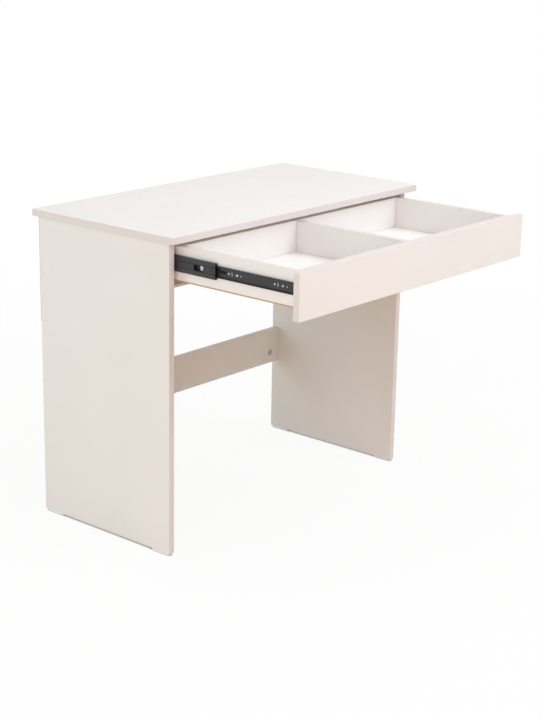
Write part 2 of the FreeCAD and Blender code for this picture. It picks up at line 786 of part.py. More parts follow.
def feet():
    """A nailed glide under each end of both panels."""
    nails = []
    ends = {"front": "panel_front_y + foot_inset + foot_length / 2",
            "back": "panel_back_y - foot_inset - foot_length / 2"}
    for end, y in ends.items():
        for side in SIDES:
            name = f"{end}_{side}_foot"
            points = rectangle(["0", "0"], "foot_width", "foot_length")
            blank = padded(f"{name}_blank", "XY_Plane", points, "foot_height", False)
            doc.recompute()
            dress(blank, "Fillet", f"{name}_ends", upright_edges(blank), "Radius", "foot_corner")
            dress(blank, "Chamfer", f"{name}_bevel", ground_edges(blank), "Size", "foot_bevel")
            x = side_x(side, "panel_mid")
            place(blank, [x, y, "0"])
            cuts = []
            for index, sign in enumerate("-+"):
                middle = [x, f"{y} {sign} foot_nail_space / 2", "0"]
                seat = step(middle, "+z", "foot_nail_sink - foot_nail_head")
                title = f"{name}_nail_{index}"
                nails.append(nail(title, seat, "+z", "foot_nail"))
                bore = "foot_nail_dia + 2 * fit_clearance"
                sink = "foot_nail_head_dia + 2 * fit_clearance"
                cuts.append(rod(f"{title}_sink", middle, "+z", sink, "foot_nail_sink"))
                cuts.append(rod(f"{title}_hole", middle, "+z", bore, "foot_height"))
                grip = "foot_nail_length + foot_nail_sink + end_gap"
                BORES[f"{side}_side_panel"].append(rod(f"{title}_grip", middle, "+z", bore, grip))
            node(cut(name, blank, cuts))
    group("foot_nails", nails)


# Slides: outlines are drawn in the plane across the slide, from the panel's inner face at zero


def across(side, distance):
    """A distance from the panel's inner face towards the drawer, in the slide's own frame."""
    return f"{'' if side == 'left' else '-'}({distance})"


def slide_point(side, distance, y, z="slide_z"):
    """A point at a distance from the panel's inner face."""
    return [side_x(side, f"panel_inner - ({distance})"), y, z]


def mirrored_outline(side, upper):
    """An outline whose lower half mirrors the upper half, listed from the middle outwards."""
    top = [[across(side, u), f"{z}"] for u, z in upper]
    low = [[across(side, u), f"-({z})"] for u, z in reversed(upper)]
    return top + low


def channel(name, side, upper, length, y, bends, bend_radius):
    """A channel of one section along the slide, rounded where its sheet is bent."""
    body = padded(name, "XZ_Plane", mirrored_outline(side, upper), length, True)
    doc.recompute()
    dress(body, "Fillet", f"{name}_bends", bend_edges(body, bends), "Radius", bend_radius)
    place(body, slide_point(side, "0", y))
    return body


def cabinet_member(side):
    """The outer channel, screwed to the panel; its lips keep the balls in."""
    half = "slide_height / 2"
    inside = f"{half} - slide_sheet"
    lip = "cabinet_reach - slide_sheet"
    upper = [("slide_sheet", inside), (lip, inside), (lip, f"{half} - slide_lip"),
             ("cabinet_reach", f"{half} - slide_lip"), ("cabinet_reach", half), ("0", half)]
    name = f"{side}_cabinet_member"
    bends = ("0", "cabinet_reach")
    body = channel(name, side, upper, "slide_length", "slide_front_y", bends, "slide_sheet")
    screws, circles = [], []
    outward = backward(SIDES[side][1])
    for index in range(SCREW_PLACES):
        ahead = f"cabinet_screw_first + {index} * cabinet_screw_pitch"
        circles.append(([ahead, "0"], "screw_hole"))
        seat = slide_point(side, "slide_sheet", f"slide_front_y + {ahead}")
        screw, pilot = slide_screw(f"{name}_screw_{index}", seat, outward, "slide_head", "slide_sheet")
        screws.append(screw)
        BORES[f"{side}_side_panel"].append(pilot)
    pierced(body, "YZ_Plane", circles, [])
    node(body)
    group(f"{side}_cabinet_screws", screws)
    start = slide_point(side, "slide_sheet", "slide_front_y + slide_length - bumper_depth / 2")
    widths = ("bumper_depth", "bumper_height")
    deep = "outer_cage_reach - slide_sheet"
    node(slab(f"{side}_slide_bumper", start, SIDES[side][1], deep, widths))


def middle_member(side):
    """The middle channel, with two grooves rolled along its web, an access slot and stop dimples."""
    half = "middle_height / 2"
    bead = "middle_bead_space / 2"
    inner = f"{bead} - middle_bead_width / 2"
    outer = f"{bead} + middle_bead_width / 2"
    near = "middle_u"
    far = "middle_u + middle_sheet"
    upper = [(far, inner), (f"{far} + middle_bead", bead), (far, outer), (far, f"{half} - middle_sheet"),
             ("middle_reach", f"{half} - middle_sheet"), ("middle_reach", half), (near, half),
             (near, outer), (f"{near} + middle_bead", bead), (near, inner)]
    name = f"{side}_middle_member"
    body = channel(name, side, upper, "member_length", "middle_front_y", ("middle_u",), "middle_sheet")
    circles = [(["middle_hole_setback", "0"], "middle_hole_dia")]
    circles.append((["middle_dimple_setback", "0"], "middle_dimple_dia"))
    for sign in "-+":
        place = ["middle_dimple_setback - middle_dimple_step", f"{sign}middle_dimple_space / 2"]
        circles.append((place, "middle_dimple_dia"))
    straight = "middle_slot_length - middle_slot_height"
    slot = rectangle(["middle_slot_setback", "0"], straight, "middle_slot_height")
    pierced(body, "YZ_Plane", circles, [slot])
    ends = [[f"middle_slot_setback {sign} ({straight}) / 2", "0"] for sign in "-+"]
    pierced(body, "YZ_Plane", [(end, "middle_slot_height") for end in ends], [])
    node(body)


def drawer_member(side):
    """The inner channel, screwed to the drawer's side, with the usual groups of holes."""
    half = "drawer_member_height / 2"
    inside = f"{half} - drawer_member_sheet"
    upper = [("drawer_web_u", inside), ("drawer_flange_u", inside),
             ("drawer_flange_u", half), ("slide_space", half)]
    name = f"{side}_drawer_member"
    bends = ("slide_space",)
    body = channel(name, side, upper, "member_length", "member_front_y", bends, "drawer_member_sheet")
    screws, circles, outlines = [], [], []
    inward = SIDES[side][1]
    for index in range(SCREW_PLACES):
        ahead = f"hole_first + {index} * hole_pitch"
        if index == 1:
            outlines.append(rectangle([ahead, "0"], "oblong_length", "screw_hole"))
        else:
            circles.append(([ahead, "0"], "screw_hole"))
            seat = slide_point(side, "drawer_web_u", f"member_front_y + {ahead}")
            title = f"{name}_screw_{index}"
            screw, pilot = slide_screw(title, seat, inward, "drawer_head", "drawer_member_sheet")
            screws.append(screw)
            BORES[f"drawer_{side}_side"].append(pilot)
        if index < SCREW_PLACES - 1:
            circles.append(([f"{ahead} - pilot_ahead", "0"], "pilot_dia"))
            circles.append(([f"{ahead} + guide_behind", "0"], "guide_dia"))
            outlines.append(rectangle([f"{ahead} + slot_behind", "0"], "slot_width", "slot_height"))
    outlines.append(rectangle(["member_length - window_setback", "0"], "window_width", "window_height"))
    pierced(body, "YZ_Plane", circles, outlines)
    node(body)
    group(f"{side}_drawer_member_screws", screws)


def ball_cage(side, kind, reach, count):
    """A thin cage with a row of balls above and below, between two members."""
    near = f"{kind}_cage_u"
    level = f"{kind}_ball_z"
    upper = [(f"{near} + cage_sheet", f"{level} - cage_sheet / 2"), (reach, f"{level} - cage_sheet / 2"),
             (reach, f"{level} + cage_sheet / 2"), (near, f"{level} + cage_sheet / 2")]
    name = f"{side}_{kind}_cage"
    length = f"{kind}_cage_length"
    front = f"{kind}_cage_y"
    body = channel(name, side, upper, length, front, (near,), "cage_sheet")
    balls, circles = [], []
    pitch = f"({length} - 2 * ball_inset) / {count - 1}"
    for index in range(count):
        ahead = f"ball_inset + {index} * {pitch}"
        circles.append(([across(side, f"{kind}_ball_u"), ahead], f"{kind}_ball_dia + 2 * ball_clearance"))
        for row, sign in (("low", "-"), ("high", "+")):
            ball = doc.addObject("Part::Sphere", f"{name}_ball_{row}_{index}")
            bind(ball, "Radius", f"{kind}_ball_dia / 2")
            place(ball, slide_point(side, f"{kind}_ball_u", f"{front} + {ahead}", f"slide_z {sign} {level}"))
            balls.append(ball)
    pierced(body, "XY_Plane", circles, [])
    window = rectangle([f"{length} / 2", "0"], f"{length} - 2 * cage_window_inset", "cage_window_height")
    pierced(body, "YZ_Plane", [], [window])
    node(body)
    group(f"{side}_{kind}_balls", balls)


def release_lever(side):
    """A small latch lever on a rivet in the drawer member."""
    profile = [["-lever_nose", "lever_nose_height / 2"], ["-lever_neck", "lever_neck_height / 2"],
               ["0", "lever_eye_height / 2"], ["lever_tail", "lever_neck_height / 2"]]
    points = profile + [[y, f"-({z})"] for y, z in reversed(profile)]
    body = padded(f"{side}_release_lever", "YZ_Plane", points, "lever_thick", side == "right")
    pierced(body, "YZ_Plane", [(["0", "0"], "rivet_dia + 2 * fit_clearance")], [])
    place(body, slide_point(side, "lever_u", "lever_y"))
    node(body)
    inward = SIDES[side][1]
    start = slide_point(side, "drawer_flange_u", "lever_y")
    shank = rod(f"{side}_rivet_shank", start, inward, "rivet_dia", "drawer_web_u - drawer_flange_u")
    head = rod(f"{side}_rivet_head", start, inward, "rivet_head_dia", "rivet_head")
    node(fuse(f"{side}_lever_rivet", [shank, head]))


def slides():
    for side in SIDES:
        cabinet_member(side)
        middle_member(side)
        drawer_member(side)
        ball_cage(side, "outer", "outer_cage_reach", OUTER_BALLS)
        ball_cage(side, "inner", "middle_reach", INNER_BALLS)
        release_lever(side)


def write_parts():
    """Checks every object, then writes each node's solids."""
    doc.recompute()
    for thing in doc.Objects:
        if "Invalid" in thing.State or "Error" in thing.State:
            raise RuntimeError(f"{thing.Label}: {thing.State}")
    for thing in NODES:
        if thing.Shape.isNull() or not thing.Shape.isValid():
            raise RuntimeError(f"{thing.Label}: its shape is empty or not valid")
    os.makedirs("parts", exist_ok=True)
    for thing in NODES:
        thing.Shape.exportStep(f"parts/{thing.Label}.step")
        print(f"{thing.Label}: {len(thing.Shape.Solids)} solids, {thing.Shape.Volume:.1f} mm3")


slides()
feet()
rail_fittings(top_fittings())
drawer_fittings()
bottom_nails()
sheet_nails()
sheet_trim()
top_panel()
frame_boards()
drawer_boards()
write_parts()
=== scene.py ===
import json
import math

import bmesh
import bpy
from mathutils import Matrix, Vector


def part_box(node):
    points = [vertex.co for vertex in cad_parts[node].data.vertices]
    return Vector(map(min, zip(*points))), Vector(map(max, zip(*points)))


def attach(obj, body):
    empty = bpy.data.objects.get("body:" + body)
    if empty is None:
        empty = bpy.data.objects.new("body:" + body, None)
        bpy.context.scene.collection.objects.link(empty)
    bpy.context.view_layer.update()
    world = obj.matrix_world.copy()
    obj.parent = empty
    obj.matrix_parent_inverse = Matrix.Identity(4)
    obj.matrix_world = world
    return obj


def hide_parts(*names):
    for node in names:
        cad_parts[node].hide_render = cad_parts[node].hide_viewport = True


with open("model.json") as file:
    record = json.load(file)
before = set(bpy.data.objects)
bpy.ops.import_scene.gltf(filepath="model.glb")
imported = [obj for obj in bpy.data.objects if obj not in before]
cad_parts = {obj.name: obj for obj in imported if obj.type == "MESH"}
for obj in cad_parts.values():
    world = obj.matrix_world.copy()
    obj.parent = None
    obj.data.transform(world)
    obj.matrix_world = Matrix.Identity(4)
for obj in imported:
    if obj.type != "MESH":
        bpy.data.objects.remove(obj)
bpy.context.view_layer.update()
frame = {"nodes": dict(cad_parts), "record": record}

# A desk with one open drawer, in pale warm melamine board, on black ball slides.
# Everything is in metres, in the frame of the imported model.

MM = 0.001
AXES = {"x": 0, "y": 1, "z": 2}
DOWN = Vector((0, 0, -1))
FRONT = Vector((0, -1, 0))
BACK = Vector((0, 1, 0))

# The photograph's camera, found from the desk's edges: a small roll, no shift
FRAME_HEIGHT_PX = 720
FOCAL_PX = 1587.5
SENSOR_MM = 36.0
VIEW_AZIMUTH = -49.91
VIEW_ELEVATION = 16.77
VIEW_ROLL = 1.06
VIEW_POINT = (-2.8505, -2.3585, 1.4826)

# Boards, in metres
EDGE_RADIUS = 0.8 * MM
TOP_EDGE_RADIUS = 1.0 * MM
TOP_CORNER_RADIUS = 4 * MM
FRONT_CORNER_RADIUS = 3 * MM
SHEET_EDGE_RADIUS = 0.2 * MM
EDGE_STEPS = 3
CORNER_STEPS = 8
ROUND_PROFILE = 0.5
SHARP_ANGLE = math.pi / 3
ORDER_LINE = Vector((1.0, 1.37, 1.93))

# How far a face must turn towards an axis to count as square to it, or as on that side
FLAT_SHARE = 0.99
SIDE_SHARE = 0.5

# Bores and fasteners, in metres
BORE_SIDES = 48
BORE_CLEARANCE = 0.3 * MM
CAM_DIAMETER = 12 * MM
CAM_BORE_DEPTH = 11.2 * MM
SCREW_HEAD_DIAMETER = 9 * MM
SCREW_BORE_DEPTH = 3 * MM
SAME_POINT = 0.001 * MM
ORDER_DIGITS = 4
HEAD_SIDES = 32
HEAD_STEPS = 9
SHANK_SIDES = 16
UNIT_RADIUS = 0.5
TURN_SEED = 7
QUARTER_TURN = math.pi / 2
CREASE = math.radians(40)

# A shank narrows from this share of its length, to this share of its width
POINT_START = 0.74
POINT_WIDTH = 0.15


def linear(colour):
    """An sRGB hex colour as linear RGBA."""
    levels = [int(colour[at:at + 2], 16) / 255 for at in (1, 3, 5)]
    return [c / 12.92 if c <= 0.04045 else ((c + 0.055) / 1.055) ** 2.4 for c in levels] + [1.0]


def add(tree, kind, values=None, links=None, **settings):
    """Adds a node with its settings, its sockets' values and the links into it."""
    node = tree.nodes.new(kind)
    for name, value in settings.items():
        setattr(node, name, value)
    for socket, value in (values or {}).items():
        node.inputs[socket].default_value = value
    for socket, source in (links or {}).items():
        tree.links.new(source, node.inputs[socket])
    return node


def per_metre(size):
    """How often a detail of some size in millimetres repeats in a metre."""
    return 1 / (size * MM)


def each_per_metre(*sizes):
    """The same for a detail's sizes along x, y and z."""
    return [per_metre(size) for size in sizes]


# Materials

# Most values of a noise lie in this range, which is spread over a finish's range of roughness
NOISE_SPAN = {"From Min": 0.3, "From Max": 0.7}
EDGE_MARK_SAMPLES = 6
NOOK_SAMPLES = 8
NOOK_REACH = 2 * MM


def new_finish(name):
    """A new material: itself, its tree, its shader and the object's own coordinates."""
    material = bpy.data.materials.new(name)
    material.use_nodes = True
    tree = material.node_tree
    place = add(tree, "ShaderNodeTexCoord").outputs["Object"]
    return material, tree, tree.nodes["Principled BSDF"], place


def dress(tree, shader, tone, gloss, relief=None):
    """Links the nodes for a finish's tone, roughness and relief to its shader."""
    tree.links.new(tone.outputs["Result"], shader.inputs["Base Color"])
    tree.links.new(gloss.outputs["Result"], shader.inputs["Roughness"])
    if relief:
        tree.links.new(relief.outputs["Normal"], shader.inputs["Normal"])


def edge_wear_and_highlight(tree, reach, most):
    """A share for sharp edges, within some reach in millimetres, and nothing on flat faces."""
    # This share paints edges paler or greyer: part wear, part painted highlight
    softened = add(tree, "ShaderNodeBevel", {"Radius": reach * MM}, samples=EDGE_MARK_SAMPLES)
    facing = add(tree, "ShaderNodeNewGeometry")
    alike = add(tree, "ShaderNodeVectorMath",
                links={0: softened.outputs["Normal"], 1: facing.outputs["Normal"]}, operation="DOT_PRODUCT")
    return add(tree, "ShaderNodeMapRange",
               {"From Min": 0.75, "From Max": 0.99, "To Min": most, "To Max": 0.0},
               {"Value": alike.outputs["Value"]}).outputs["Result"]


def satin_melamine(name, tones):
    """Chipboard faced with melamine, pressed against a pearl plate.

    An even, pale, warm grey with a satin sheen. The tone and the gloss drift a little from place to place,
    and small round dimples break up the highlights. The drawer's box takes a paler copy of this finish,
    painted light that stands in for the light inside the drawer.
    """
    material, tree, shader, place = new_finish(name)
    drift = add(tree, "ShaderNodeTexNoise", {"Scale": per_metre(160), "Detail": 2.0}, {"Vector": place})
    tone = add(tree, "ShaderNodeMix", {"A": linear(tones[0]), "B": linear(tones[1])},
               {"Factor": drift.outputs["Fac"]}, data_type="RGBA")
    handled = add(tree, "ShaderNodeTexNoise", {"Scale": per_metre(45), "Detail": 4.0}, {"Vector": place})
    gloss = add(tree, "ShaderNodeMapRange", {**NOISE_SPAN, "To Min": 0.36, "To Max": 0.46},
                {"Value": handled.outputs["Fac"]})
    # The real dimples are about 0.4 mm wide, and are drawn at 2 mm so that they show
    dimples = add(tree, "ShaderNodeTexVoronoi", {"Scale": per_metre(2)}, {"Vector": place}, feature="F1")
    relief = add(tree, "ShaderNodeBump", {"Distance": 0.012 * MM}, {"Height": dimples.outputs["Distance"]})
    dress(tree, shader, tone, gloss, relief)
    return material


def abs_edge_band():
    """Extruded ABS edging, one millimetre thick, glued on and trimmed round at both arrises.

    A shade warmer and duller than the faces, with faint lines along its run. The arrises are painted paler,
    part rub and part painted highlight.
    It reads the board's own map: along the run, and across the board's thickness.
    """
    material, tree, shader, _ = new_finish("abs_edge_band")
    run = add(tree, "ShaderNodeUVMap", uv_map="run").outputs["UV"]
    cloudy = add(tree, "ShaderNodeMapping", {"Scale": each_per_metre(90, 40, 1)}, {"Vector": run})
    drift = add(tree, "ShaderNodeTexNoise", {"Scale": 1.0, "Detail": 2.0},
                {"Vector": cloudy.outputs["Vector"]})
    tone = add(tree, "ShaderNodeMix", {"A": linear("#DED5D2"), "B": linear("#E3DBD8")},
               {"Factor": drift.outputs["Fac"]}, data_type="RGBA")
    # Arrises painted paler: part rub, part painted highlight
    worn_and_highlit = add(tree, "ShaderNodeMix", {"B": linear("#EAE5E1")},
                 {"Factor": edge_wear_and_highlight(tree, 0.9, 0.6), "A": tone.outputs["Result"]}, data_type="RGBA")
    # The real lines are about 0.2 mm apart, and are drawn at 1.2 mm so that they show
    drawn = add(tree, "ShaderNodeMapping", {"Scale": each_per_metre(70, 1.2, 1)}, {"Vector": run})
    lines = add(tree, "ShaderNodeTexNoise", {"Scale": 1.0, "Detail": 2.0},
                {"Vector": drawn.outputs["Vector"]})
    gloss = add(tree, "ShaderNodeMapRange", {**NOISE_SPAN, "To Min": 0.32, "To Max": 0.4},
                {"Value": lines.outputs["Fac"]})
    relief = add(tree, "ShaderNodeBump", {"Distance": 0.002 * MM}, {"Height": lines.outputs["Fac"]})
    dress(tree, shader, worn_and_highlit, gloss, relief)
    return material


def white_lacquered_hardboard():
    """Hardboard with white lacquer rolled on its smooth face.

    A clean, slightly warm white, less glossy than the melamine, with the low orange peel of a roller.
    """
    material, tree, shader, place = new_finish("white_lacquered_hardboard")
    drift = add(tree, "ShaderNodeTexNoise", {"Scale": per_metre(80), "Detail": 3.0}, {"Vector": place})
    tone = add(tree, "ShaderNodeMix", {"A": linear("#F1F0EE"), "B": linear("#F6F6F4")},
               {"Factor": drift.outputs["Fac"]}, data_type="RGBA")
    # The real peel is about 1 mm wide, and is drawn at 3 mm so that it shows
    peel = add(tree, "ShaderNodeTexNoise", {"Scale": per_metre(3), "Detail": 1.0}, {"Vector": place})
    gloss = add(tree, "ShaderNodeMapRange", {**NOISE_SPAN, "To Min": 0.46, "To Max": 0.58},
                {"Value": peel.outputs["Fac"]})
    relief = add(tree, "ShaderNodeBump", {"Distance": 0.03 * MM}, {"Height": peel.outputs["Fac"]})
    dress(tree, shader, tone, gloss, relief)
    return material


def raw_hardboard():
    """Wood fibre pressed hot into a thin brown sheet.

    A mid brown felt of short fibres in all directions, with darker flecks of bark, and quite dull.
    """
    material, tree, shader, place = new_finish("raw_hardboard")
    felt = add(tree, "ShaderNodeTexNoise",
               {"Scale": per_metre(5), "Detail": 6.0, "Roughness": 0.7, "Distortion": 1.5}, {"Vector": place})
    clear = add(tree, "ShaderNodeMapRange",
                {"From Min": 0.25, "From Max": 0.75, "To Min": 0.0, "To Max": 1.0},
                {"Value": felt.outputs["Fac"]})
    brown = add(tree, "ShaderNodeMix", {"A": linear("#B09274"), "B": linear("#D0B493")},
                {"Factor": clear.outputs["Result"]}, data_type="RGBA")
    cells = add(tree, "ShaderNodeTexVoronoi", {"Scale": per_metre(9)}, {"Vector": place}, feature="F1")
    flecks = add(tree, "ShaderNodeMapRange",
                 {"From Min": 0.0, "From Max": 0.16, "To Min": 0.55, "To Max": 0.0},
                 {"Value": cells.outputs["Distance"]})
    tone = add(tree, "ShaderNodeMix", {"B": linear("#866647")},
               {"Factor": flecks.outputs["Result"], "A": brown.outputs["Result"]}, data_type="RGBA")
    gloss = add(tree, "ShaderNodeMapRange", {**NOISE_SPAN, "To Min": 0.66, "To Max": 0.84},
                {"Value": felt.outputs["Fac"]})
    relief = add(tree, "ShaderNodeBump", {"Distance": 0.08 * MM}, {"Height": felt.outputs["Fac"]})
    dress(tree, shader, tone, gloss, relief)
    return material


def raw_chipboard():
    """Chipboard as a drill leaves it.

    Straw-coloured chips of a few millimetres, some pale and some brown, rough and matt.
    """
    material, tree, shader, place = new_finish("raw_chipboard")
    chips = add(tree, "ShaderNodeTexVoronoi", {"Scale": per_metre(2.5)}, {"Vector": place}, feature="F1")
    tone = add(tree, "ShaderNodeMix", {"A": linear("#9C7B50"), "B": linear("#DCC49A")},
               {"Factor": chips.outputs["Color"]}, data_type="RGBA")
    grit = add(tree, "ShaderNodeTexNoise", {"Scale": per_metre(1.2), "Detail": 4.0}, {"Vector": place})
    gloss = add(tree, "ShaderNodeMapRange", {**NOISE_SPAN, "To Min": 0.78, "To Max": 0.95},
                {"Value": grit.outputs["Fac"]})
    relief = add(tree, "ShaderNodeBump", {"Distance": 0.25 * MM}, {"Height": grit.outputs["Fac"]})
    dress(tree, shader, tone, gloss, relief)
    return material


def black_coated_steel():
    """Rolled steel sheet, dip-coated black.

    Nearly black with a half gloss, and faint rolled lines along the slide. A thin greyer band is painted at
    its edges, part rub and part painted highlight.
    """
    material, tree, shader, place = new_finish("black_coated_steel")
    film = add(tree, "ShaderNodeTexNoise", {"Scale": per_metre(14), "Detail": 3.0}, {"Vector": place})
    tone = add(tree, "ShaderNodeMix", {"A": linear("#2A292C"), "B": linear("#313033")},
               {"Factor": film.outputs["Fac"]}, data_type="RGBA")
    # Edges painted greyer: part rub, part painted highlight
    worn_and_highlit = add(tree, "ShaderNodeMix", {"B": linear("#565556")},
                 {"Factor": edge_wear_and_highlight(tree, 0.4, 0.5), "A": tone.outputs["Result"]}, data_type="RGBA")
    # The real lines are about 0.1 mm apart, and are drawn at 0.8 mm so that they show
    rolled = add(tree, "ShaderNodeMapping", {"Scale": each_per_metre(0.8, 60, 0.8)}, {"Vector": place})
    lines = add(tree, "ShaderNodeTexNoise", {"Scale": 1.0, "Detail": 3.0},
                {"Vector": rolled.outputs["Vector"]})
    gloss = add(tree, "ShaderNodeMapRange", {**NOISE_SPAN, "To Min": 0.34, "To Max": 0.5},
                {"Value": lines.outputs["Fac"]})
    relief = add(tree, "ShaderNodeBump", {"Distance": 0.006 * MM}, {"Height": lines.outputs["Fac"]})
    dress(tree, shader, worn_and_highlit, gloss, relief)
    return material


def black_acetal():
    """Acetal, moulded black in a spark-eroded tool.

    Black, smooth to the touch and half matt, with a fine even stipple.
    """
    material, tree, shader, place = new_finish("black_acetal")
    shader.inputs["Specular IOR Level"].default_value = 0.25
    flow = add(tree, "ShaderNodeTexNoise", {"Scale": per_metre(10), "Detail": 2.0}, {"Vector": place})
    tone = add(tree, "ShaderNodeMix", {"A": linear("#0A0A0B"), "B": linear("#111112")},
               {"Factor": flow.outputs["Fac"]}, data_type="RGBA")
    # The real stipple is about 0.1 mm wide, and is drawn at 0.7 mm so that it shows
    stipple = add(tree, "ShaderNodeTexNoise", {"Scale": per_metre(0.7), "Detail": 2.0}, {"Vector": place})
    gloss = add(tree, "ShaderNodeMapRange", {**NOISE_SPAN, "To Min": 0.48, "To Max": 0.62},
                {"Value": stipple.outputs["Fac"]})
    relief = add(tree, "ShaderNodeBump", {"Distance": 0.01 * MM}, {"Height": stipple.outputs["Fac"]})
    dress(tree, shader, tone, gloss, relief)
    return material


def bright_zinc_plate():
    """Steel with a bright zinc plate.

    Pale, cool, shiny metal; the plate is mottled by its crystals. Its edges are painted brighter: part rub,
    part painted highlight. A driver's recess is painted dark grey, a painted shade where its walls close in.
    """
    material, tree, shader, place = new_finish("bright_zinc_plate")
    shader.inputs["Metallic"].default_value = 1.0
    crystals = add(tree, "ShaderNodeTexVoronoi", {"Scale": per_metre(0.9)}, {"Vector": place}, feature="F1")
    tone = add(tree, "ShaderNodeMix", {"A": linear("#B9BDC3"), "B": linear("#D6D8D8")},
               {"Factor": crystals.outputs["Color"]}, data_type="RGBA")
    # Edges painted brighter: part rub, part painted highlight
    worn_and_highlit = add(tree, "ShaderNodeMix", {"B": linear("#E6E7E6")},
                 {"Factor": edge_wear_and_highlight(tree, 0.3, 0.6), "A": tone.outputs["Result"]}, data_type="RGBA")
    # Painted shade: where occlusion finds close walls, as in a driver's recess, the colour turns dark grey
    nook = add(tree, "ShaderNodeAmbientOcclusion", {"Distance": NOOK_REACH}, samples=NOOK_SAMPLES)
    recess_unshaded = add(tree, "ShaderNodeMapRange",
                {"From Min": 0.25, "From Max": 0.6, "To Min": 0.0, "To Max": 1.0},
                {"Value": nook.outputs["AO"]})
    recess_painted_shade = add(tree, "ShaderNodeMix", {"A": linear("#3A3938")},
                {"Factor": recess_unshaded.outputs["Result"], "B": worn_and_highlit.outputs["Result"]}, data_type="RGBA")
    gloss = add(tree, "ShaderNodeMapRange",
                {"From Min": 0.0, "From Max": 0.8, "To Min": 0.2, "To Max": 0.36},
                {"Value": crystals.outputs["Distance"]})
    relief = add(tree, "ShaderNodeBump", {"Distance": 0.004 * MM}, {"Height": crystals.outputs["Distance"]})
    dress(tree, shader, recess_painted_shade, gloss, relief)
    return material


def die_cast_zinc():
    """Zinc alloy, as it comes out of the die.

    Mid grey, dull metal with flow marks and a slightly grainy skin.
    """
    material, tree, shader, place = new_finish("die_cast_zinc")
    shader.inputs["Metallic"].default_value = 1.0
    flow = add(tree, "ShaderNodeTexNoise", {"Scale": per_metre(3), "Detail": 3.0, "Distortion": 1.0},
               {"Vector": place})
    tone = add(tree, "ShaderNodeMix", {"A": linear("#9FA0A2"), "B": linear("#BEBFC0")},
               {"Factor": flow.outputs["Fac"]}, data_type="RGBA")
    skin = add(tree, "ShaderNodeTexNoise", {"Scale": per_metre(0.5), "Detail": 2.0}, {"Vector": place})
    gloss = add(tree, "ShaderNodeMapRange", {**NOISE_SPAN, "To Min": 0.36, "To Max": 0.56},
                {"Value": skin.outputs["Fac"]})
    relief = add(tree, "ShaderNodeBump", {"Distance": 0.012 * MM}, {"Height": skin.outputs["Fac"]})
    dress(tree, shader, tone, gloss, relief)
    return material


def polished_ball_steel():
    """Hardened steel balls, lapped bright, under a film of grease.

    Mirror bright, with a haze here and there where the grease lies.
    """
    material, tree, shader, place = new_finish("polished_ball_steel")
    shader.inputs["Metallic"].default_value = 1.0
    grease = add(tree, "ShaderNodeTexNoise", {"Scale": per_metre(1.5), "Detail": 2.0}, {"Vector": place})
    tone = add(tree, "ShaderNodeMix", {"A": linear("#C2C2BE"), "B": linear("#D4D6D8")},
               {"Factor": grease.outputs["Fac"]}, data_type="RGBA")
    gloss = add(tree, "ShaderNodeMapRange",
                {"From Min": 0.35, "From Max": 0.7, "To Min": 0.06, "To Max": 0.22},
                {"Value": grease.outputs["Fac"]})
    dress(tree, shader, tone, gloss)
    return material


def turned_beech():
    """Beech, turned to a rod and left raw.

    Pinkish straw wood with short brown flecks, dry and matt.
    """
    material, tree, shader, place = new_finish("turned_beech")
    grained = add(tree, "ShaderNodeMapping", {"Scale": each_per_metre(1, 1, 5)}, {"Vector": place})
    flecks = add(tree, "ShaderNodeTexNoise", {"Scale": 1.0, "Detail": 3.0},
                 {"Vector": grained.outputs["Vector"]})
    tone = add(tree, "ShaderNodeMix", {"A": linear("#C79C6C"), "B": linear("#E2C094")},
               {"Factor": flecks.outputs["Fac"]}, data_type="RGBA")
    gloss = add(tree, "ShaderNodeMapRange", {**NOISE_SPAN, "To Min": 0.58, "To Max": 0.76},
                {"Value": flecks.outputs["Fac"]})
    relief = add(tree, "ShaderNodeBump", {"Distance": 0.04 * MM}, {"Height": flecks.outputs["Fac"]})
    dress(tree, shader, tone, gloss, relief)
    return material


def white_polyethylene():
    """Polyethylene, moulded white.

    A waxy, slightly cool white, half matt, with faint flow marks and scuffs.
    """
    material, tree, shader, place = new_finish("white_polyethylene")
    flow = add(tree, "ShaderNodeTexNoise", {"Scale": per_metre(12), "Detail": 3.0, "Distortion": 0.6},
               {"Vector": place})
    tone = add(tree, "ShaderNodeMix", {"A": linear("#F3F7FA"), "B": linear("#F9FCFE")},
               {"Factor": flow.outputs["Fac"]}, data_type="RGBA")
    scuffs = add(tree, "ShaderNodeTexNoise", {"Scale": per_metre(1.5), "Detail": 4.0}, {"Vector": place})
    gloss = add(tree, "ShaderNodeMapRange", {**NOISE_SPAN, "To Min": 0.38, "To Max": 0.54},
                {"Value": scuffs.outputs["Fac"]})
    relief = add(tree, "ShaderNodeBump", {"Distance": 0.01 * MM}, {"Height": scuffs.outputs["Fac"]})
    dress(tree, shader, tone, gloss, relief)
    return material


def grey_polypropylene():
    """Polypropylene, moulded grey in a lightly blasted tool.

    A plain warm grey, half matt, with a fine stipple. Its rim is painted paler, part rub and part painted
    highlight.
    """
    material, tree, shader, place = new_finish("grey_polypropylene")
    flow = add(tree, "ShaderNodeTexNoise", {"Scale": per_metre(8), "Detail": 2.0}, {"Vector": place})
    tone = add(tree, "ShaderNodeMix", {"A": linear("#ABA6A6"), "B": linear("#B6B1B1")},
               {"Factor": flow.outputs["Fac"]}, data_type="RGBA")
    # Rim painted paler: part rub, part painted highlight
    worn_and_highlit = add(tree, "ShaderNodeMix", {"B": linear("#C9C5C4")},
                 {"Factor": edge_wear_and_highlight(tree, 0.5, 0.5), "A": tone.outputs["Result"]}, data_type="RGBA")
    # The real stipple is about 0.1 mm wide, and is drawn at 0.7 mm so that it shows
    stipple = add(tree, "ShaderNodeTexNoise", {"Scale": per_metre(0.7), "Detail": 2.0}, {"Vector": place})
    gloss = add(tree, "ShaderNodeMapRange", {**NOISE_SPAN, "To Min": 0.38, "To Max": 0.52},
                {"Value": stipple.outputs["Fac"]})
    relief = add(tree, "ShaderNodeBump", {"Distance": 0.01 * MM}, {"Height": stipple.outputs["Fac"]})
    dress(tree, shader, worn_and_highlit, gloss, relief)
    return material


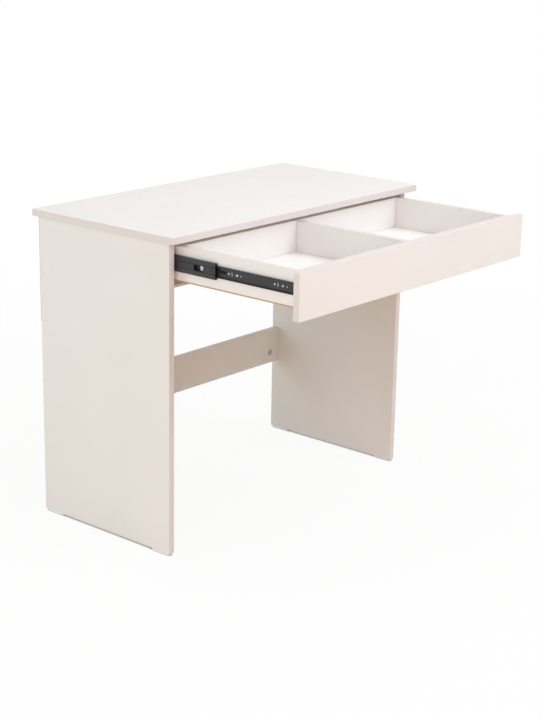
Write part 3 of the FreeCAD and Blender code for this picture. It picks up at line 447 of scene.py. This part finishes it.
def pale_pvc_trim():
    """PVC trim, extruded off-white.

    Off-white and half matt, with faint lines along its length.
    """
    material, tree, shader, place = new_finish("pale_pvc_trim")
    # The real lines are about 0.1 mm apart, and are drawn at 0.8 mm so that they show
    drawn = add(tree, "ShaderNodeMapping", {"Scale": each_per_metre(80, 0.8, 0.8)}, {"Vector": place})
    lines = add(tree, "ShaderNodeTexNoise", {"Scale": 1.0, "Detail": 2.0},
                {"Vector": drawn.outputs["Vector"]})
    tone = add(tree, "ShaderNodeMix", {"A": linear("#E4DED8"), "B": linear("#ECE8E3")},
               {"Factor": lines.outputs["Fac"]}, data_type="RGBA")
    gloss = add(tree, "ShaderNodeMapRange", {**NOISE_SPAN, "To Min": 0.36, "To Max": 0.5},
                {"Value": lines.outputs["Fac"]})
    relief = add(tree, "ShaderNodeBump", {"Distance": 0.008 * MM}, {"Height": lines.outputs["Fac"]})
    dress(tree, shader, tone, gloss, relief)
    return material


FINISHES = {made.name: made for made in (
    satin_melamine("satin_melamine", ("#E8E4E0", "#ECE9E6")),
    # A paler copy of the same melamine, painted light for the inside of the drawer
    satin_melamine("painted_light_satin_melamine", ("#EEE9E4", "#F2EEEA")),
    abs_edge_band(), white_lacquered_hardboard(), raw_hardboard(), raw_chipboard(), black_coated_steel(),
    black_acetal(), bright_zinc_plate(), die_cast_zinc(), polished_ball_steel(), turned_beech(),
    white_polyethylene(), grey_polypropylene(), pale_pvc_trim())}

# What each material slot of the record is finished in
SLOT_FINISH = {
    "melamine_board": "satin_melamine", "hardboard": "raw_hardboard", "foot_plastic": "white_polyethylene",
    "cap_plastic": "grey_polypropylene", "trim_plastic": "pale_pvc_trim", "slide_steel": "black_coated_steel",
    "slide_plastic": "black_acetal", "zinc_steel": "bright_zinc_plate", "cast_zinc": "die_cast_zinc",
    "ball_steel": "polished_ball_steel", "beech": "turned_beech",
}
SLOT_OF = {part["node"]: part["material_slot"] for part in frame["record"]["subparts"]}
for name, thing in frame["nodes"].items():
    thing.material_slots[0].material = FINISHES[SLOT_FINISH[SLOT_OF[name]]]


# Pieces


def placed(name, mesh):
    """A new object at the origin for a mesh, in the scene."""
    thing = bpy.data.objects.new(name, mesh)
    bpy.context.scene.collection.objects.link(thing)
    return thing


def finished(name, source):
    """A new object at the origin that holds a source's evaluated mesh; the source goes."""
    bpy.context.view_layer.update()
    depsgraph = bpy.context.evaluated_depsgraph_get()
    mesh = bpy.data.meshes.new_from_object(source.evaluated_get(depsgraph))
    mesh.name = name
    bpy.data.objects.remove(source)
    return placed(name, mesh)


def stand_for(piece, node, body):
    """Makes a piece ride on a body in its node's place; its node is hidden."""
    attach(piece, body)
    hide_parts(node)


def solids(node):
    """The low and high corners of each separate solid of a node, in a fixed order."""
    form = bmesh.new()
    form.from_mesh(frame["nodes"][node].data)
    bmesh.ops.remove_doubles(form, verts=form.verts, dist=SAME_POINT)
    boxes = []
    waiting = set(form.verts)
    while waiting:
        reached = [waiting.pop()]
        corners = []
        while reached:
            vertex = reached.pop()
            corners.append(vertex.co.copy())
            for link in vertex.link_edges:
                other = link.other_vert(vertex)
                if other in waiting:
                    waiting.remove(other)
                    reached.append(other)
        low = Vector(min(c[axis] for c in corners) for axis in range(3))
        high = Vector(max(c[axis] for c in corners) for axis in range(3))
        boxes.append((low, high))
    form.free()
    return sorted(boxes, key=lambda box: [round(v, ORDER_DIGITS) for v in (*box[0], *box[1])])


def outer_face(box, way):
    """The middle of a box's face on the side that a unit vector along an axis points to."""
    low, high = box
    half = (high - low) / 2
    return (low + high) / 2 + Vector(w * h for w, h in zip(way, half))


def outward(box):
    """The unit vector along x, away from the desk's middle."""
    return Vector((math.copysign(1.0, box[0].x + box[1].x), 0, 0))


def inward(box):
    """The unit vector along x, towards the desk's middle."""
    return -outward(box)


def board_screw_way(box):
    """Screws across the drawer face outwards; those along it face back."""
    size = box[1] - box[0]
    return outward(box) if size.x > size.y else BACK


def mouths(node, facing, wide, deep):
    """Bores for a node's solids: mouth, outward direction, diameter and depth."""
    return [(outer_face(box, facing(box)), facing(box), wide + BORE_CLEARANCE, deep) for box in solids(node)]


def bore_cutter(name, bores):
    """One mesh of closed rods that stand a millimetre out of their bores' mouths."""
    form = bmesh.new()
    for mouth, way, wide, deep in bores:
        turn = way.to_track_quat("Z", "Y").to_matrix().to_4x4()
        centre = mouth - way * (deep - MM) / 2
        bmesh.ops.create_cone(form, cap_ends=True, segments=BORE_SIDES, radius1=wide / 2, radius2=wide / 2,
                              depth=deep + MM, matrix=Matrix.Translation(centre) @ turn)
    mesh = bpy.data.meshes.new(name)
    form.to_mesh(mesh)
    form.free()
    mesh.materials.append(FINISHES["raw_chipboard"])
    return placed(name, mesh)


def board(node, body, thick, radius, finishes, corner=0.0, bores=()):
    """A board of its node's own size: rounded arrises, edges in another finish than the faces, and bores.

    Its map gives the edges' finish the way along the run and across the thickness, in metres.
    """
    low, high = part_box(node)
    form = bmesh.new()
    bmesh.ops.create_cube(form, size=1.0)
    for vertex in form.verts:
        share = vertex.co + Vector((0.5, 0.5, 0.5))
        vertex.co = low + Vector(a * b for a, b in zip(share, high - low))
    across = AXES[thick]
    if corner:
        posts = [e for e in form.edges if abs((e.verts[0].co - e.verts[1].co)[across]) > corner]
        bmesh.ops.bevel(form, geom=posts, offset=corner, segments=CORNER_STEPS, profile=ROUND_PROFILE,
                        affect="EDGES")
    sharp = [e for e in form.edges if e.calc_face_angle() > SHARP_ANGLE]
    bmesh.ops.bevel(form, geom=sharp, offset=radius, segments=EDGE_STEPS, profile=ROUND_PROFILE,
                    affect="EDGES")
    # Bevels leave points and faces in a chance order, so they are put in order along a slanting line
    form.verts.sort(key=lambda vertex: vertex.co.dot(ORDER_LINE))
    form.faces.sort(key=lambda face: face.calc_center_median().dot(ORDER_LINE))
    run_map = form.loops.layers.uv.new("run")
    flat = [axis for axis in range(3) if axis != across]
    for face in form.faces:
        face.smooth = True
        face.material_index = 0 if abs(face.normal[across]) > FLAT_SHARE else 1
        along = flat[1] if abs(face.normal[flat[0]]) > abs(face.normal[flat[1]]) else flat[0]
        for loop in face.loops:
            loop[run_map].uv = (loop.vert.co[along], loop.vert.co[across])
    mesh = bpy.data.meshes.new(f"{node}_form")
    form.to_mesh(mesh)
    form.free()
    for finish in finishes:
        mesh.materials.append(FINISHES[finish])
    source = placed(f"{node}_form", mesh)
    cutter = None
    if bores:
        cutter = bore_cutter(f"{node}_bores", bores)
        cut = source.modifiers.new("bores", "BOOLEAN")
        cut.object = cutter
        cut.operation = "DIFFERENCE"
        cut.solver = "EXACT"
        cut.material_mode = "TRANSFER"
    source.modifiers.new("even_normals", "WEIGHTED_NORMAL")
    piece = finished(f"{node}_board", source)
    if cutter:
        bpy.data.objects.remove(cutter)
    stand_for(piece, node, body)
    return piece


def head_tree(name, crossed):
    """A tree that sets a round-headed fastener at each point, with its head towards the point's facing.

    The head narrows towards its top by the crown, from a plain disc at 0 to a full dome at 1. A crossed head
    has a driver's recess. Each fastener is turned by chance, with a fixed seed.
    """
    tree = bpy.data.node_groups.new(name, "GeometryNodeTree")
    tree.interface.new_socket("Points", in_out="INPUT", socket_type="NodeSocketGeometry")
    labels = ["Head Diameter", "Head Height", "Crown", "Shank Diameter", "Shank Length"]
    if crossed:
        labels += ["Recess Length", "Recess Width", "Recess Depth"]
    for label in labels:
        tree.interface.new_socket(label, in_out="INPUT", socket_type="NodeSocketFloat")
    tree.interface.new_socket("Material", in_out="INPUT", socket_type="NodeSocketMaterial")
    tree.interface.new_socket("Mesh", in_out="OUTPUT", socket_type="NodeSocketGeometry")
    given = add(tree, "NodeGroupInput").outputs
    along = add(tree, "GeometryNodeSplineParameter").outputs["Factor"]
    # Head: a line up its axis, swept by a ring whose size follows an ellipse
    top = add(tree, "ShaderNodeCombineXYZ", links={"Z": given["Head Height"]}).outputs[0]
    axis = add(tree, "GeometryNodeCurvePrimitiveLine", links={"End": top}).outputs[0]
    steps = add(tree, "GeometryNodeResampleCurve", {"Count": HEAD_STEPS}, {"Curve": axis}).outputs[0]
    lean = add(tree, "ShaderNodeMath", links={0: along, 1: given["Crown"]}, operation="MULTIPLY").outputs[0]
    square = add(tree, "ShaderNodeMath", links={0: lean, 1: lean}, operation="MULTIPLY").outputs[0]
    rest = add(tree, "ShaderNodeMath", {0: 1.0}, {1: square}, operation="SUBTRACT").outputs[0]
    narrow = add(tree, "ShaderNodeMath", {1: 0.5}, {0: rest}, operation="POWER").outputs[0]
    wide = add(tree, "ShaderNodeMath", links={0: narrow, 1: given["Head Diameter"]}, operation="MULTIPLY")
    ring = add(tree, "GeometryNodeCurvePrimitiveCircle", {"Resolution": HEAD_SIDES, "Radius": UNIT_RADIUS})
    head = add(tree, "GeometryNodeCurveToMesh", {"Fill Caps": True},
               {"Curve": steps, "Profile Curve": ring.outputs[0], "Scale": wide.outputs[0]}).outputs[0]
    if crossed:
        # Two crossed bars, with their middles at the head's top, cut a recess of half their height
        tall = add(tree, "ShaderNodeMath", {1: 2.0}, {0: given["Recess Depth"]}, operation="MULTIPLY")
        bars = add(tree, "GeometryNodeJoinGeometry")
        for first, second in (("Recess Length", "Recess Width"), ("Recess Width", "Recess Length")):
            size = add(tree, "ShaderNodeCombineXYZ",
                       links={"X": given[first], "Y": given[second], "Z": tall.outputs[0]})
            bar = add(tree, "GeometryNodeMeshCube", links={"Size": size.outputs[0]})
            lifted = add(tree, "GeometryNodeTransform",
                         links={"Geometry": bar.outputs[0], "Translation": top})
            tree.links.new(lifted.outputs[0], bars.inputs[0])
        cut = add(tree, "GeometryNodeMeshBoolean", {"Self Intersection": True},
                  operation="DIFFERENCE", solver="EXACT")
        tree.links.new(head, cut.inputs["Mesh 1"])
        tree.links.new(bars.outputs[0], cut.inputs["Mesh 2"])
        head = cut.outputs["Mesh"]
    # Shank: a line down from the head, drawn in to a point at its end
    down = add(tree, "ShaderNodeMath", {1: -1.0}, {0: given["Shank Length"]}, operation="MULTIPLY").outputs[0]
    tip = add(tree, "ShaderNodeCombineXYZ", links={"Z": down}).outputs[0]
    stem = add(tree, "GeometryNodeCurvePrimitiveLine", links={"End": tip}).outputs[0]
    parts = add(tree, "GeometryNodeResampleCurve", {"Count": HEAD_STEPS}, {"Curve": stem}).outputs[0]
    drawn = add(tree, "ShaderNodeMapRange",
                {"From Min": POINT_START, "From Max": 1.0, "To Min": 1.0, "To Max": POINT_WIDTH},
                {"Value": along}).outputs["Result"]
    slim = add(tree, "ShaderNodeMath", links={0: drawn, 1: given["Shank Diameter"]}, operation="MULTIPLY")
    loop = add(tree, "GeometryNodeCurvePrimitiveCircle", {"Resolution": SHANK_SIDES, "Radius": UNIT_RADIUS})
    shank = add(tree, "GeometryNodeCurveToMesh", {"Fill Caps": True},
                {"Curve": parts, "Profile Curve": loop.outputs[0], "Scale": slim.outputs[0]}).outputs[0]
    whole = add(tree, "GeometryNodeJoinGeometry")
    tree.links.new(head, whole.inputs[0])
    tree.links.new(shank, whole.inputs[0])
    # Each point's facing, a chance turn about it, and the finished copies
    facing = add(tree, "GeometryNodeInputNamedAttribute", {"Name": "facing"}, data_type="FLOAT_VECTOR")
    aimed = add(tree, "FunctionNodeAlignRotationToVector", links={"Vector": facing.outputs[0]}, axis="Z")
    chance = add(tree, "FunctionNodeRandomValue", {"Max": QUARTER_TURN, "Seed": TURN_SEED}, data_type="FLOAT")
    spin = add(tree, "ShaderNodeCombineXYZ", links={"Z": chance.outputs["Value"]}).outputs[0]
    turn = add(tree, "FunctionNodeEulerToRotation", links={"Euler": spin}).outputs[0]
    turned = add(tree, "FunctionNodeRotateRotation",
                 links={"Rotation": aimed.outputs[0], "Rotate By": turn}, rotation_space="LOCAL")
    copies = add(tree, "GeometryNodeInstanceOnPoints",
                 links={"Points": given["Points"], "Instance": whole.outputs[0],
                        "Rotation": turned.outputs[0]})
    real = add(tree, "GeometryNodeRealizeInstances", links={"Geometry": copies.outputs[0]}).outputs[0]
    dressed = add(tree, "GeometryNodeSetMaterial", links={"Geometry": real, "Material": given["Material"]})
    add(tree, "NodeGroupOutput", links={"Mesh": dressed.outputs[0]})
    return tree


PLAIN_HEADS = head_tree("plain_heads", False)
CROSSED_HEADS = head_tree("crossed_heads", True)


def fasteners(node, body, tree, facing, sizes, sunk=0.0):
    """The fasteners of a node: one at each of its solids, with sizes in millimetres and sunk by so much."""
    inputs = {item.name: item.identifier for item in tree.interface.items_tree if item.in_out == "INPUT"}
    ways = [(outer_face(box, facing(box)), facing(box)) for box in solids(node)]
    seat = (sizes["Head Height"] + sunk) * MM
    mesh = bpy.data.meshes.new(f"{node}_points")
    mesh.from_pydata([face - way * seat for face, way in ways], [], [])
    arrows = mesh.attributes.new("facing", "FLOAT_VECTOR", "POINT")
    for at, (_, way) in enumerate(ways):
        arrows.data[at].vector = way
    source = placed(f"{node}_points", mesh)
    modifier = source.modifiers.new("fasteners", "NODES")
    modifier.node_group = tree
    for label, size in sizes.items():
        modifier[inputs[label]] = size if label == "Crown" else size * MM
    modifier[inputs["Material"]] = FINISHES[SLOT_FINISH[SLOT_OF[node]]]
    piece = finished(f"{node}_set", source)
    piece.data.shade_smooth()
    piece.data.set_sharp_from_angle(angle=CREASE)
    stand_for(piece, node, body)


# Boards, with bores where a fitting's face shows
top_cam_bores = mouths("top_cams", inward, CAM_DIAMETER, CAM_BORE_DEPTH)
drawer_cam_bores = mouths("drawer_cams", lambda box: BACK, CAM_DIAMETER, CAM_BORE_DEPTH)
screw_bores = mouths("drawer_screws", board_screw_way, SCREW_HEAD_DIAMETER, SCREW_BORE_DEPTH)
FACED = ("satin_melamine", "abs_edge_band")
# The drawer's boards take the paler copy of the melamine, which is painted light
PAINTED_LIGHT_FACED = ("painted_light_satin_melamine", "abs_edge_band")
board("top_panel", "frame", "z", TOP_EDGE_RADIUS, FACED, corner=TOP_CORNER_RADIUS)
for side, sign in (("left", -1), ("right", 1)):
    board(f"{side}_side_panel", "frame", "x", EDGE_RADIUS, FACED,
          bores=[bore for bore in top_cam_bores if bore[0].x * sign > 0])
    board(f"drawer_{side}_side", "drawer", "x", EDGE_RADIUS, PAINTED_LIGHT_FACED,
          bores=[bore for bore in screw_bores if bore[1].x * sign > 0])
board("stretcher", "frame", "y", EDGE_RADIUS, FACED)
board("drawer_front", "drawer", "y", EDGE_RADIUS, FACED, corner=FRONT_CORNER_RADIUS)
inner_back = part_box("drawer_inner_front")[1].y
inner_screws = [bore for bore in screw_bores if abs(bore[0].y - inner_back) < MM]
back_screws = [bore for bore in screw_bores if bore[1].y > 0 and bore not in inner_screws]
board("drawer_inner_front", "drawer", "y", EDGE_RADIUS, PAINTED_LIGHT_FACED, bores=drawer_cam_bores + inner_screws)
board("drawer_back", "drawer", "y", EDGE_RADIUS, PAINTED_LIGHT_FACED, bores=back_screws)
board("drawer_divider", "drawer", "x", EDGE_RADIUS, PAINTED_LIGHT_FACED)

# Thin sheets: white on one face, raw on the other and at the edges
SHEETED = ("white_lacquered_hardboard", "raw_hardboard")
for node, body, thick, raw in (("drawer_bottom", "drawer", "z", DOWN), ("back_sheet", "frame", "y", FRONT)):
    sheet = board(node, body, thick, SHEET_EDGE_RADIUS, SHEETED)
    for face in sheet.data.polygons:
        if face.normal.dot(raw) > SIDE_SHARE:
            face.material_index = 1

# Fasteners, in millimetres
HEAD_SUNK = 0.3
PLAIN_NAIL = {"Head Diameter": 4, "Head Height": 0.8, "Crown": 0.8, "Shank Diameter": 1.6, "Shank Length": 15}
FOOT_NAIL = {"Head Diameter": 5, "Head Height": 1, "Crown": 0.6, "Shank Diameter": 2.5, "Shank Length": 14.5}
COVER_CAP = {"Head Diameter": 17, "Head Height": 0.8, "Crown": 0.5, "Shank Diameter": 4, "Shank Length": 2}
SLIDE_SCREW = {"Head Diameter": 7, "Head Height": 1, "Crown": 0.8, "Shank Diameter": 3.5, "Shank Length": 13,
               "Recess Length": 4, "Recess Width": 1.2, "Recess Depth": 0.7}
DRAWER_SLIDE_SCREW = {**SLIDE_SCREW, "Head Height": 1.8, "Recess Width": 1.6, "Recess Depth": 1.5}
BOARD_SCREW = {"Head Diameter": 9, "Head Height": 2.4, "Crown": 0.3, "Shank Diameter": 5, "Shank Length": 24,
               "Recess Length": 5, "Recess Width": 1.2, "Recess Depth": 1.6}
SMALL_CAM = {"Head Diameter": 11.9, "Head Height": 10.4, "Crown": 0.1,
             "Shank Diameter": 3, "Shank Length": 0.3,
             "Recess Length": 6.5, "Recess Width": 1.5, "Recess Depth": 2.5}
fasteners("bottom_nails", "drawer", PLAIN_HEADS, lambda box: DOWN, PLAIN_NAIL)
fasteners("sheet_nails", "frame", PLAIN_HEADS, lambda box: BACK, PLAIN_NAIL)
fasteners("foot_nails", "frame", PLAIN_HEADS, lambda box: DOWN, FOOT_NAIL)
fasteners("cam_caps", "frame", PLAIN_HEADS, lambda box: FRONT, COVER_CAP)
fasteners("top_cams", "frame", CROSSED_HEADS, inward, SMALL_CAM, HEAD_SUNK)
fasteners("drawer_cams", "drawer", CROSSED_HEADS, lambda box: BACK, SMALL_CAM, HEAD_SUNK)
fasteners("drawer_screws", "drawer", CROSSED_HEADS, board_screw_way, BOARD_SCREW, HEAD_SUNK)
for side in ("left", "right"):
    fasteners(f"{side}_cabinet_screws", "frame", CROSSED_HEADS, inward, SLIDE_SCREW)
    fasteners(f"{side}_drawer_member_screws", "drawer", CROSSED_HEADS, outward, DRAWER_SLIDE_SCREW)


# Stage

FLOOR_HALF = 40.0
# The floor's own white has this share near the desk, where the rest shows the shadow, and all further out
FLOOR_GLOW_SHARE = 0.92
FLOOR_FADE_START = 0.9
FLOOR_FADE_END = 2.6
CONTACT_REACH = 9 * MM
CONTACT_SAMPLES = 12
WORLD_LEVEL = 0.43

# Lamps: name, azimuth and elevation in degrees, distance and size in metres, power in watts, colour, and the
# height of the point on the desk's middle line that each looks at
LAMPS = (
    ("front_light", 20, 42, 3.6, 2.6, 78, "#EEF3FF", 0.6),
    ("left_light", -62, 12, 3.6, 2.6, 36, "#FBF8FF", 0.4),
    ("back_light", -130, 14, 3.6, 2.6, 35, "#CBF1FF", 0.4),
    ("top_light", 0, 85, 2.6, 2.4, 24, "#FCFFFA", 0.7),
)


def seen_rays(tree):
    """One for rays that come from the camera, a reflection or glass."""
    path = add(tree, "ShaderNodeLightPath").outputs
    mirror = add(tree, "ShaderNodeMath", links={0: path["Is Glossy Ray"], 1: path["Is Transmission Ray"]},
                 operation="MAXIMUM")
    return add(tree, "ShaderNodeMath", links={0: path["Is Camera Ray"], 1: mirror.outputs[0]},
               operation="MAXIMUM").outputs[0]


def studio_floor():
    """Pale floor that shows white, with a soft shadow of the desk that fades outwards.

    Close under the panels its white is painted darker, a painted contact shadow where light hardly gets in
    between them and the floor.
    """
    mesh = bpy.data.meshes.new("studio_floor")
    corners = [(x * FLOOR_HALF, y * FLOOR_HALF, 0) for x, y in ((-1, -1), (1, -1), (1, 1), (-1, 1))]
    mesh.from_pydata(corners, [], [(0, 1, 2, 3)])
    placed("studio_floor", mesh)
    material = bpy.data.materials.new("white_studio_floor")
    mesh.materials.append(material)
    material.use_nodes = True
    tree = material.node_tree
    tree.nodes.clear()
    place = add(tree, "ShaderNodeTexCoord").outputs["Object"]
    seen = seen_rays(tree)
    far = add(tree, "ShaderNodeVectorMath", links={0: place}, operation="LENGTH").outputs["Value"]
    glow = add(tree, "ShaderNodeMapRange",
               {"From Min": FLOOR_FADE_START, "From Max": FLOOR_FADE_END,
                "To Min": FLOOR_GLOW_SHARE, "To Max": 1.0}, {"Value": far})
    share = add(tree, "ShaderNodeMath", links={0: seen, 1: glow.outputs["Result"]}, operation="MULTIPLY")
    # Light that the floor throws back at the desk is warmer than the floor looks
    tone = add(tree, "ShaderNodeMix", {"A": linear("#F2E0CA"), "B": linear("#F4F1EE")}, {"Factor": seen},
               data_type="RGBA")
    matt = add(tree, "ShaderNodeBsdfDiffuse", links={"Color": tone.outputs["Result"]})
    # Painted contact shadow: near the panels and feet, the floor's glowing white is painted towards dark
    # olive
    near = add(tree, "ShaderNodeAmbientOcclusion", {"Distance": CONTACT_REACH}, samples=CONTACT_SAMPLES)
    clear = add(tree, "ShaderNodeMapRange",
                {"From Min": 0.2, "From Max": 0.65, "To Min": 0.0, "To Max": 1.0},
                {"Value": near.outputs["AO"]})
    pale = add(tree, "ShaderNodeMix", {"A": linear("#625A4E"), "B": linear("#FFFFFF")},
               {"Factor": clear.outputs["Result"]}, data_type="RGBA")
    white = add(tree, "ShaderNodeEmission", {"Strength": 1.0}, {"Color": pale.outputs["Result"]})
    mixed = add(tree, "ShaderNodeMixShader",
                links={0: share.outputs[0], 1: matt.outputs[0], 2: white.outputs[0]})
    add(tree, "ShaderNodeOutputMaterial", links={"Surface": mixed.outputs[0]})


def studio_world():
    """An even white surrounding that lights softly and shows white."""
    world = bpy.data.worlds.new("studio")
    bpy.context.scene.world = world
    world.use_nodes = True
    tree = world.node_tree
    tree.nodes.clear()
    seen = seen_rays(tree)
    tone = add(tree, "ShaderNodeMix", {"A": linear("#FFF4ED"), "B": linear("#FFFFFF")}, {"Factor": seen},
               data_type="RGBA")
    level = add(tree, "ShaderNodeMapRange",
                {"From Min": 0.0, "From Max": 1.0, "To Min": WORLD_LEVEL, "To Max": 1.0}, {"Value": seen})
    back = add(tree, "ShaderNodeBackground",
               links={"Color": tone.outputs["Result"], "Strength": level.outputs["Result"]})
    add(tree, "ShaderNodeOutputWorld", links={"Surface": back.outputs[0]})


def direction(azimuth, elevation):
    """The unit vector from the desk to a place around it; azimuth 0 is in front and 90 on the right."""
    turn = math.radians(azimuth)
    rise = math.radians(elevation)
    return Vector((math.sin(turn) * math.cos(rise), -math.cos(turn) * math.cos(rise), math.sin(rise)))


def softbox(name, azimuth, elevation, distance, size, power, colour, height):
    """A square soft light that looks at a point of the desk.

    Reflections show the white surroundings and not the lamp, so that no pale board burns out from any side.
    """
    data = bpy.data.lights.new(name, "AREA")
    data.size = size
    data.energy = power
    data.color = linear(colour)[:3]
    lamp = bpy.data.objects.new(name, data)
    away = direction(azimuth, elevation)
    lamp.location = Vector((0, 0, height)) + away * distance
    lamp.rotation_euler = away.to_track_quat("Z", "Y").to_euler()
    lamp.visible_glossy = False
    bpy.context.scene.collection.objects.link(lamp)


def photo_camera():
    """The camera of the photograph, from its direction, roll, place and focal length."""
    data = bpy.data.cameras.new("photo_camera")
    data.sensor_width = SENSOR_MM
    data.lens = FOCAL_PX / FRAME_HEIGHT_PX * SENSOR_MM
    back = direction(VIEW_AZIMUTH, VIEW_ELEVATION)
    right = Vector((0, 0, 1)).cross(back).normalized()
    up = back.cross(right)
    level = Matrix((right, up, back)).transposed().to_4x4()
    roll = Matrix.Rotation(math.radians(VIEW_ROLL), 4, "Z")
    camera = bpy.data.objects.new("photo_camera", data)
    camera.matrix_world = Matrix.Translation(VIEW_POINT) @ level @ roll
    bpy.context.scene.collection.objects.link(camera)
    bpy.context.scene.camera = camera


studio_floor()
studio_world()
for lamp in LAMPS:
    softbox(*lamp)
photo_camera()
bpy.context.scene.view_settings.view_transform = "Standard"
